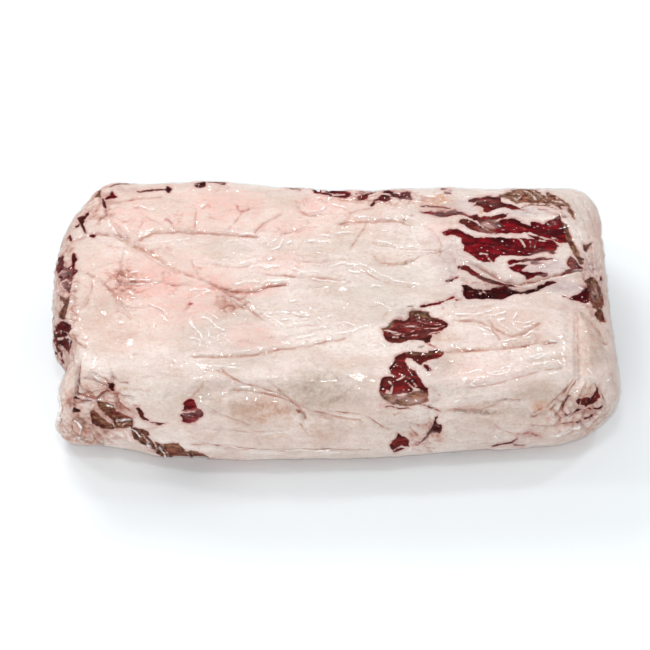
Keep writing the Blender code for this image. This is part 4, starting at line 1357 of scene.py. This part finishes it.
def stains_and_painted_shade(base):
    """Share of each colour laid on the fat, stains and painted shade, and of the veil on the meat, by kind.
    """
    kinds = {kind: np.zeros(base.count) for kind in (*FAT_COLOURS, "veil")}
    patchy = 0.75 + 0.5 * grain(base.rest, (7, 5, 5), 51)
    frayed = np.clip(0.75 + 0.7 * grain(base.rest, (3.5, 3, 3), 52), 0.1, 1.2)
    for kind, lines in STAIN_AND_SHADE_LINES.items():
        for _, share, half, line in lines:
            mark = share * ramp(-line_distance(base.pixels, line), -half - 0.6, -half * 0.2) * frayed
            kinds[kind] = np.maximum(kinds[kind], mark * base.seen)
    for kind, patches in STAIN_AND_SHADE_PATCHES.items():
        for _, share, x, y, half_length, half_width in patches:
            offset = (base.pixels - (x, y)) / (half_length, half_width)
            mark = share * ramp(-np.linalg.norm(offset, axis=1), -1.15, -0.3) * patchy
            kinds[kind] = np.maximum(kinds[kind], mark * base.seen)
    for kind, share, size, seed in HIDDEN_STAINS:
        mark = share * ramp(grain(base.rest, size, seed), 0.0, 0.5) * (1 - base.seen)
        kinds[kind] = np.maximum(kinds[kind], mark)
    # Tan laid on more towards the floor: painted shade, darker towards the bottom
    painted_shade_near_floor = 0.36 * ramp(-base.rest[:, 2] / MM + 5 * grain(base.rest, (14, 14, 9), 88), -11, -3)
    kinds["tan"] = np.maximum(kinds["tan"], painted_shade_near_floor)
    return kinds


def stand_in(piece):
    """Puts a piece in the place of the sealed part."""
    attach(piece, "root")
    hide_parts("bagged_ribeye")


def finish_piece(piece, name, base, height, floor, material, shares):
    """The grid at its own height in mm over the block, with its shares as attributes, cut flat below."""
    piece.name = name
    piece.data.name = name
    points = base.rest + base.out * (base.relief + height * MM)[:, None]
    piece.data.vertices.foreach_set("co", points.ravel())
    for label, values in shares.items():
        layer = piece.data.attributes.new(label, "FLOAT", "POINT")
        layer.data.foreach_set("value", np.clip(values, 0, 1).astype(np.float32))
    select_only(piece)
    bpy.ops.object.mode_set(mode="EDIT")
    bpy.ops.mesh.select_all(action="SELECT")
    bpy.ops.mesh.bisect(plane_co=(0, 0, floor), plane_no=(0, 0, 1), use_fill=True, clear_inner=True)
    bpy.ops.object.mode_set(mode="OBJECT")
    bpy.ops.object.shade_smooth_by_angle(angle=SMOOTH_ANGLE)
    piece.data.materials.clear()
    piece.data.materials.append(material)
    stand_in(piece)


def new_material(name):
    """A plain material, with its node tree and its shader."""
    material = bpy.data.materials.new(name)
    material.use_nodes = True
    tree = material.node_tree
    return material, tree, tree.nodes["Principled BSDF"]


def share_node(tree, name):
    """A vertex share read as a number."""
    node = tree.nodes.new("ShaderNodeAttribute")
    node.attribute_name = name
    return node.outputs["Fac"]


def noise_node(tree, scale, detail=3.0, stretch=(1, 1, 1), roughness=0.5):
    """Noise in object space, stretched along each axis."""
    place = tree.nodes.new("ShaderNodeTexCoord")
    mapping = tree.nodes.new("ShaderNodeMapping")
    mapping.inputs["Scale"].default_value = stretch
    speckle = tree.nodes.new("ShaderNodeTexNoise")
    speckle.inputs["Scale"].default_value = scale
    speckle.inputs["Detail"].default_value = detail
    speckle.inputs["Roughness"].default_value = roughness
    tree.links.new(place.outputs["Object"], mapping.inputs["Vector"])
    tree.links.new(mapping.outputs["Vector"], speckle.inputs["Vector"])
    return speckle.outputs["Fac"]


def math_node(tree, kind, first, second):
    """One sum, product or comparison of two numbers or outputs."""
    node = tree.nodes.new("ShaderNodeMath")
    node.operation = kind
    for socket, value in zip(node.inputs, (first, second)):
        if isinstance(value, (int, float)):
            socket.default_value = value
        else:
            tree.links.new(value, socket)
    return node.outputs["Value"]


def range_node(tree, value, low, high, start=0.0, end=1.0):
    """A number mapped smoothly from one range to another."""
    node = tree.nodes.new("ShaderNodeMapRange")
    node.interpolation_type = "SMOOTHSTEP"
    node.inputs["From Min"].default_value = low
    node.inputs["From Max"].default_value = high
    node.inputs["To Min"].default_value = start
    node.inputs["To Max"].default_value = end
    tree.links.new(value, node.inputs["Value"])
    return node.outputs["Result"]


def crease_node(tree, scale, stretch, width):
    """Thin creases that meet and part and come and go, 1 along a crease."""
    place = tree.nodes.new("ShaderNodeTexCoord")
    mapping = tree.nodes.new("ShaderNodeMapping")
    mapping.inputs["Scale"].default_value = stretch
    sway = tree.nodes.new("ShaderNodeTexNoise")
    sway.inputs["Scale"].default_value = scale * 1.3
    sway.inputs["Detail"].default_value = 2
    bend = tree.nodes.new("ShaderNodeVectorMath")
    bend.operation = "MULTIPLY_ADD"
    bend.inputs[1].default_value = (0.9 / scale, 0.9 / scale, 0.9 / scale)
    cells = tree.nodes.new("ShaderNodeTexVoronoi")
    cells.feature = "DISTANCE_TO_EDGE"
    cells.inputs["Scale"].default_value = scale
    tree.links.new(place.outputs["Object"], mapping.inputs["Vector"])
    tree.links.new(place.outputs["Object"], sway.inputs["Vector"])
    tree.links.new(sway.outputs["Color"], bend.inputs[0])
    tree.links.new(mapping.outputs["Vector"], bend.inputs[2])
    tree.links.new(bend.outputs["Vector"], cells.inputs["Vector"])
    line = range_node(tree, cells.outputs["Distance"], 0.0, width, 1.0, 0.0)
    fades = range_node(tree, noise_node(tree, scale * 0.9, 3), 0.46, 0.62)
    return math_node(tree, "MULTIPLY", line, fades)


def mix_node(tree, share, first, second):
    """Two colours mixed by a share."""
    node = tree.nodes.new("ShaderNodeMix")
    node.data_type = "RGBA"
    tree.links.new(share, node.inputs["Factor"])
    for socket, colour in ((node.inputs[6], first), (node.inputs[7], second)):
        if isinstance(colour, tuple):
            socket.default_value = colour
        else:
            tree.links.new(colour, socket)
    return node.outputs[2]


def bump_node(tree, height, strength, distance):
    """A fine relief for a shader's normal."""
    node = tree.nodes.new("ShaderNodeBump")
    node.inputs["Strength"].default_value = strength
    node.inputs["Distance"].default_value = distance
    tree.links.new(height, node.inputs["Height"])
    return node.outputs["Normal"]


def srgb(red, green, blue):
    """A screen colour of 0 to 255 as the shader's linear colour."""
    screen = np.array((red, green, blue)) / 255
    linear = np.where(screen <= 0.04045, screen / 12.92, ((screen + 0.055) / 1.055) ** 2.4)
    return (*linear.tolist(), 1.0)


FAT_CREAM = srgb(249, 237, 230)

# Mottling of the fat and the meat: noise scale, detail, stretch and roughness, low and high, share, colour
FAT_MOTTLES = (
    (38, 3, (0.6, 1, 1), 0.5, 0.36, 0.66, 1.0, srgb(232, 214, 205)),
    (110, 6, (0.45, 1, 1), 0.62, 0.46, 0.7, 0.42, srgb(222, 192, 176)),
    (90, 6, (0.4, 1, 1), 0.62, 0.5, 0.66, 0.7, srgb(248, 236, 230)),
    (560, 4, (0.7, 1, 1), 0.6, 0.45, 0.7, 0.45, srgb(214, 184, 170)),
    (26, 3, (0.7, 1, 1), 0.5, 0.48, 0.66, 0.42, srgb(220, 206, 196)),
)
FAT_SPECKS = (900, 1, (1, 1, 1), 0.5, 0.68, 0.76, 0.45, srgb(186, 110, 88))
MEAT_BLOTCHES = (110, 4, (0.6, 1, 1), 0.5, 0.45, 0.65, 0.7, srgb(62, 6, 10))
MEAT_RIBBONS = (130, 5, (0.35, 1, 1), 0.6, 0.58, 0.68, 0.3, srgb(158, 56, 52))
MEAT_THREADS = (420, 3, (0.35, 1, 1), 0.65, 0.63, 0.7, 0.5, srgb(188, 124, 112))

# Colours laid over the fat, in the order they go on; tan, grey and brown are also painted shade
FAT_COLOURS = {
    "rose": srgb(242, 208, 196),
    "pink": srgb(246, 194, 183),
    "cool": srgb(206, 192, 176),
    "tan": srgb(196, 150, 124),
    "orange": srgb(222, 150, 100),
    "grey": srgb(168, 146, 130),
    "membrane": srgb(214, 196, 196),
    "rim": srgb(228, 200, 190),
    "brown": srgb(112, 72, 52),
    "blood": srgb(168, 44, 34),
}


def mottled(tree, colour, *mottles):
    """A colour with noise of other colours laid over it in turn."""
    for scale, detail, stretch, roughness, low, high, share, shade in mottles:
        patch = range_node(tree, noise_node(tree, scale, detail, stretch, roughness), low, high, 0, share)
        colour = mix_node(tree, patch, colour, shade)
    return colour


def meat_colour(tree):
    """Dark red meat with fibres along the muscle, brown where air reached it, painted gap shade, flecks and
    a veil.
    """
    fibres = noise_node(tree, 300, 5, (0.3, 1, 1), 0.7)
    colour = mix_node(tree, range_node(tree, fibres, 0.36, 0.66), srgb(74, 3, 11), srgb(156, 12, 28))
    colour = mottled(tree, colour, MEAT_BLOTCHES)
    worn = range_node(tree, noise_node(tree, 240, 4), 0.3, 0.62, 0.3, 1.15)
    old = math_node(tree, "MULTIPLY", share_node(tree, "brown_meat"), worn)
    brown = mix_node(tree, range_node(tree, fibres, 0.35, 0.68), srgb(96, 60, 42), srgb(176, 131, 101))
    colour = mix_node(tree, old, colour, brown)
    # Darker meat, and painted shade down the gaps and cuts
    dark_and_gap_shade = math_node(tree, "MULTIPLY", share_node(tree, "dark_meat_and_gap_shade"), 0.7)
    colour = mix_node(tree, dark_and_gap_shade, colour, srgb(48, 4, 7))
    colour = mottled(tree, colour, MEAT_RIBBONS)
    grit = range_node(tree, noise_node(tree, 330, 4, (0.7, 1, 1), 0.65), 0.5, 0.62)
    gritty = range_node(tree, share_node(tree, "brown_meat"), 0.78, 1.0, 0, 0.38)
    grit = math_node(tree, "MULTIPLY", grit, gritty)
    colour = mix_node(tree, grit, colour, srgb(202, 176, 160))
    colour = mottled(tree, colour, MEAT_THREADS)
    cloudy = range_node(tree, noise_node(tree, 150, 5, (0.4, 1, 1), 0.65), 0.36, 0.62)
    cloudy = math_node(tree, "MULTIPLY", cloudy, share_node(tree, "veil"))
    return mix_node(tree, cloudy, colour, srgb(214, 178, 172))


def fat_colour(tree, creases, fine_creases):
    """Cream fat with soft mottling, fine veins, and the stains and painted shade laid over it."""
    colour = mottled(tree, FAT_CREAM, *FAT_MOTTLES)
    breakup = range_node(tree, noise_node(tree, 420, 4), 0.3, 0.7, 0.65, 1.3)
    for kind, shade in FAT_COLOURS.items():
        share = math_node(tree, "MULTIPLY", share_node(tree, kind), breakup)
        colour = mix_node(tree, share, colour, shade)
    # Darker along the creases of the bump: painted shade
    colour = mix_node(tree, math_node(tree, "MULTIPLY", creases, 0.12), colour, srgb(204, 150, 130))
    # Darker in folds and darkest deep in them: painted shade
    painted_shade_in_fold = range_node(tree, share_node(tree, "painted_fold_shade"), 0.12, 0.55, 0, 0.5)
    colour = mix_node(tree, painted_shade_in_fold, colour, srgb(200, 132, 112))
    painted_shade_deep_fold = range_node(tree, share_node(tree, "painted_fold_shade"), 0.55, 0.85, 0, 0.65)
    colour = mix_node(tree, painted_shade_deep_fold, colour, srgb(142, 76, 58))
    # Darker along the fine creases of the bump: painted shade
    colour = mix_node(tree, math_node(tree, "MULTIPLY", fine_creases, 0.16), colour, srgb(216, 172, 156))
    veins = math_node(tree, "MULTIPLY", crease_node(tree, 80, (0.6, 1, 1), 0.045), share_node(tree, "rose"))
    colour = mix_node(tree, math_node(tree, "MULTIPLY", veins, 0.65), colour, srgb(206, 104, 88))
    return mottled(tree, colour, FAT_SPECKS)


def fat_material():
    """Fat that thins out to bare meat along ragged edges."""
    material, tree, shader = new_material("bagged_fat_cap")
    creases = crease_node(tree, 52, (0.4, 1, 1), 0.055)
    fine_creases = crease_node(tree, 130, (0.45, 1, 1), 0.09)
    colour = fat_colour(tree, creases, fine_creases)
    fray = math_node(tree, "SUBTRACT", noise_node(tree, 260, 6, (0.45, 1, 1), 0.7), 0.5)
    bare = math_node(tree, "ADD", share_node(tree, "bare"), math_node(tree, "MULTIPLY", fray, 0.7))
    thin = range_node(tree, bare, 0.1, 0.5, 0, 0.55)
    colour = mix_node(tree, thin, colour, srgb(220, 172, 164))
    streaks = range_node(tree, noise_node(tree, 230, 5, (0.22, 1, 1), 0.65), 0.5, 0.68)
    membrane = math_node(tree, "MULTIPLY", share_node(tree, "membrane"), 0.7)
    see_through = math_node(tree, "ADD", membrane, thin)
    streaky = math_node(tree, "MULTIPLY", math_node(tree, "MULTIPLY", streaks, see_through), 0.8)
    colour = mix_node(tree, streaky, colour, srgb(158, 84, 84))
    colour = mix_node(tree, range_node(tree, bare, 0.46, 0.55), colour, meat_colour(tree))
    tree.links.new(colour, shader.inputs["Base Color"])
    grooves = math_node(tree, "MULTIPLY", math_node(tree, "ADD", creases, fine_creases), 0.4)
    crumple = math_node(tree, "MULTIPLY", noise_node(tree, 75, 7, (0.42, 1, 1), 0.66), 8)
    relief = math_node(tree, "SUBTRACT", crumple, grooves)
    tree.links.new(bump_node(tree, relief, 0.8, 0.0008), shader.inputs["Normal"])
    shader.inputs["Roughness"].default_value = 0.5
    shader.inputs["Specular IOR Level"].default_value = 0.2
    return material


def meat_material():
    """Wet meat."""
    material, tree, shader = new_material("dark_red_meat")
    tree.links.new(meat_colour(tree), shader.inputs["Base Color"])
    ripples = noise_node(tree, 520, 4, (0.2, 1, 1), 0.6)
    tree.links.new(bump_node(tree, ripples, 0.5, 0.0012), shader.inputs["Normal"])
    shader.inputs["Roughness"].default_value = 0.4
    shader.inputs["Specular IOR Level"].default_value = 0.08
    return material


def bag_material():
    """Clear shrunk film: seen through, with sharp gloss and painted milky highlights on crests and over
    meat.
    """
    material, tree, shader = new_material("clear_bag_film")
    tree.nodes.remove(shader)
    clear = tree.nodes.new("ShaderNodeBsdfTransparent")
    gloss = tree.nodes.new("ShaderNodeBsdfGlossy")
    gloss.inputs["Roughness"].default_value = 0.06
    # Milky white that paints highlights onto the crests and dots
    milky_painted_highlight = tree.nodes.new("ShaderNodeBsdfDiffuse")
    milky_painted_highlight.inputs["Color"].default_value = srgb(252, 248, 245)
    ridges = math_node(tree, "MULTIPLY", crease_node(tree, 75, (0.35, 1, 1), 0.09), 0.7)
    crinkle = math_node(tree, "ADD", noise_node(tree, 120, 5, (0.4, 1, 1), 0.55), ridges)
    normal = bump_node(tree, crinkle, 0.3, 0.0012)
    tree.links.new(normal, gloss.inputs["Normal"])
    fresnel = tree.nodes.new("ShaderNodeFresnel")
    fresnel.inputs["IOR"].default_value = 1.5
    tree.links.new(normal, fresnel.inputs["Normal"])
    # Small milky dots over open meat: painted specular glints
    painted_glint_dots = range_node(tree, noise_node(tree, 620, 0, (0.6, 1, 1)), 0.78, 0.83, 0, 0.8)
    painted_glint_dots = math_node(tree, "MULTIPLY", painted_glint_dots, share_node(tree, "over_meat"))
    patchy = range_node(tree, noise_node(tree, 190, 3), 0.36, 0.6, 0.2, 0.9)
    # Milky white along the crests: painted highlights
    painted_highlight_haze = math_node(tree, "MULTIPLY", share_node(tree, "painted_highlight_haze"), patchy)
    highlight_over_clear = tree.nodes.new("ShaderNodeMixShader")
    tree.links.new(math_node(tree, "MAXIMUM", painted_highlight_haze, painted_glint_dots), highlight_over_clear.inputs["Fac"])
    tree.links.new(clear.outputs["BSDF"], highlight_over_clear.inputs[1])
    tree.links.new(milky_painted_highlight.outputs["BSDF"], highlight_over_clear.inputs[2])
    film = tree.nodes.new("ShaderNodeMixShader")
    tree.links.new(math_node(tree, "MINIMUM", fresnel.outputs["Fac"], 0.1), film.inputs["Fac"])
    tree.links.new(highlight_over_clear.outputs["Shader"], film.inputs[1])
    tree.links.new(gloss.outputs["BSDF"], film.inputs[2])
    tree.links.new(film.outputs["Shader"], tree.nodes["Material Output"].inputs["Surface"])
    return material


def floor_material():
    """Plain white sweep."""
    material, _, shader = new_material("white_sweep")
    shader.inputs["Base Color"].default_value = FLOOR_WHITE
    shader.inputs["Roughness"].default_value = 0.9
    shader.inputs["Specular IOR Level"].default_value = 0.0
    return material


def build_fat():
    """The cap of fat, finer where it shows, where it is marked and where it meets open meat."""
    grid = gridded_block(FAT_ROWS)
    refine(grid, Block(grid).seen > 0.5)
    base = Block(grid)
    edge, _, _ = open_meat(base)
    refine(grid, (np.abs(edge + 0.5) < 1.2) | line_marks(base))
    base = Block(grid)
    edge, brown, dark = open_meat(base)
    folds, painted_fold_shade = fold_relief(base)
    drop = FAT_DROP / MM * np.clip((-0.9 - edge) / 1.1, 0, 1)
    height = fat_height(base, folds, edge) - drop
    shares = stains_and_painted_shade(base)
    shares["painted_fold_shade"] = painted_fold_shade
    shares["bare"] = 0.5 - edge / 6
    shares["brown_meat"] = brown
    shares["dark_meat_and_gap_shade"] = dark
    finish_piece(grid, "fat_cap", base, height, FAT_FLOOR, fat_material(), shares)


def build_meat():
    """The red meat, finer where it is open."""
    grid = gridded_block(MEAT_ROWS)
    for reach in (6, 2.5):
        edge, _, _ = open_meat(Block(grid))
        refine(grid, edge < reach)
    base = Block(grid)
    edge, brown, dark = open_meat(base)
    folds, _ = fold_relief(base)
    height = meat_height(base, folds, edge, dark)
    shares = {"brown_meat": brown, "dark_meat_and_gap_shade": dark, "veil": stains_and_painted_shade(base)["veil"]}
    finish_piece(grid, "ribeye_meat", base, height, MEAT_FLOOR, meat_material(), shares)


def build_bag():
    """The clear bag over both."""
    grid = gridded_block(BAG_ROWS)
    refine(grid, Block(grid).seen > 0.5)
    for _ in range(2):
        refine(grid, glint_crests(Block(grid)) > 0.15)
    base = Block(grid)
    edge, _, _ = open_meat(base)
    folds, _ = fold_relief(base)
    glints = glint_crests(base)
    height = bag_height(base, folds, edge, glints)
    # Milky white along the crests is painted highlight
    shares = {"painted_highlight_haze": glints, "over_meat": ramp(-edge, 0, 2)}
    finish_piece(grid, "bag_film", base, height, BAG_FLOOR, bag_material(), shares)


def build_floor():
    """A wide plain floor under the bag."""
    bpy.ops.object.select_all(action="DESELECT")
    bpy.ops.mesh.primitive_plane_add(size=FLOOR_SIZE)
    floor = bpy.context.object
    floor.name = "floor"
    floor.visible_glossy = False
    floor.data.materials.append(floor_material())


def area_light(name, place, aim, size, power, in_gloss):
    """A soft box at a place, turned to its aim."""
    light = bpy.data.lights.new(name, "AREA")
    light.shape = "RECTANGLE"
    light.size = size[0]
    light.size_y = size[1]
    light.energy = power
    lamp = bpy.data.objects.new(name, light)
    bpy.context.scene.collection.objects.link(lamp)
    way = np.array(aim) - np.array(place)
    lamp.location = place
    lamp.rotation_euler = Vector(way.tolist()).to_track_quat("-Z", "Y").to_euler()
    lamp.visible_glossy = in_gloss


def light_studio():
    """An even white surround, soft boxes that shape the block and small ones that the film mirrors."""
    world = bpy.data.worlds.new("studio")
    bpy.context.scene.world = world
    world.use_nodes = True
    tree = world.node_tree
    path = tree.nodes.new("ShaderNodeLightPath")
    strength = range_node(tree, path.outputs["Is Glossy Ray"], 0.0, 1.0, WORLD_LIGHT, WORLD_IN_GLOSS)
    tree.links.new(strength, tree.nodes["Background"].inputs["Strength"])
    tree.nodes["Background"].inputs["Color"].default_value = (1, 1, 1, 1)
    for name, place, size, power, in_gloss in LAMPS:
        area_light(name, place, LAMP_AIM, size, power, in_gloss)


def place_camera():
    """A long lens at the photograph's angle."""
    camera = bpy.data.objects.new("camera", bpy.data.cameras.new("camera"))
    bpy.context.scene.collection.objects.link(camera)
    camera.location = VIEW_PLACE.tolist()
    camera.rotation_euler = (VIEW_TILT, 0, 0)
    camera.data.lens = LENS_MM
    camera.data.sensor_width = SENSOR_MM
    camera.data.clip_start = 0.01
    bpy.context.scene.camera = camera


build_fat()
build_meat()
build_bag()
build_floor()
light_studio()
place_camera()
bpy.context.scene.view_settings.view_transform = "Standard"
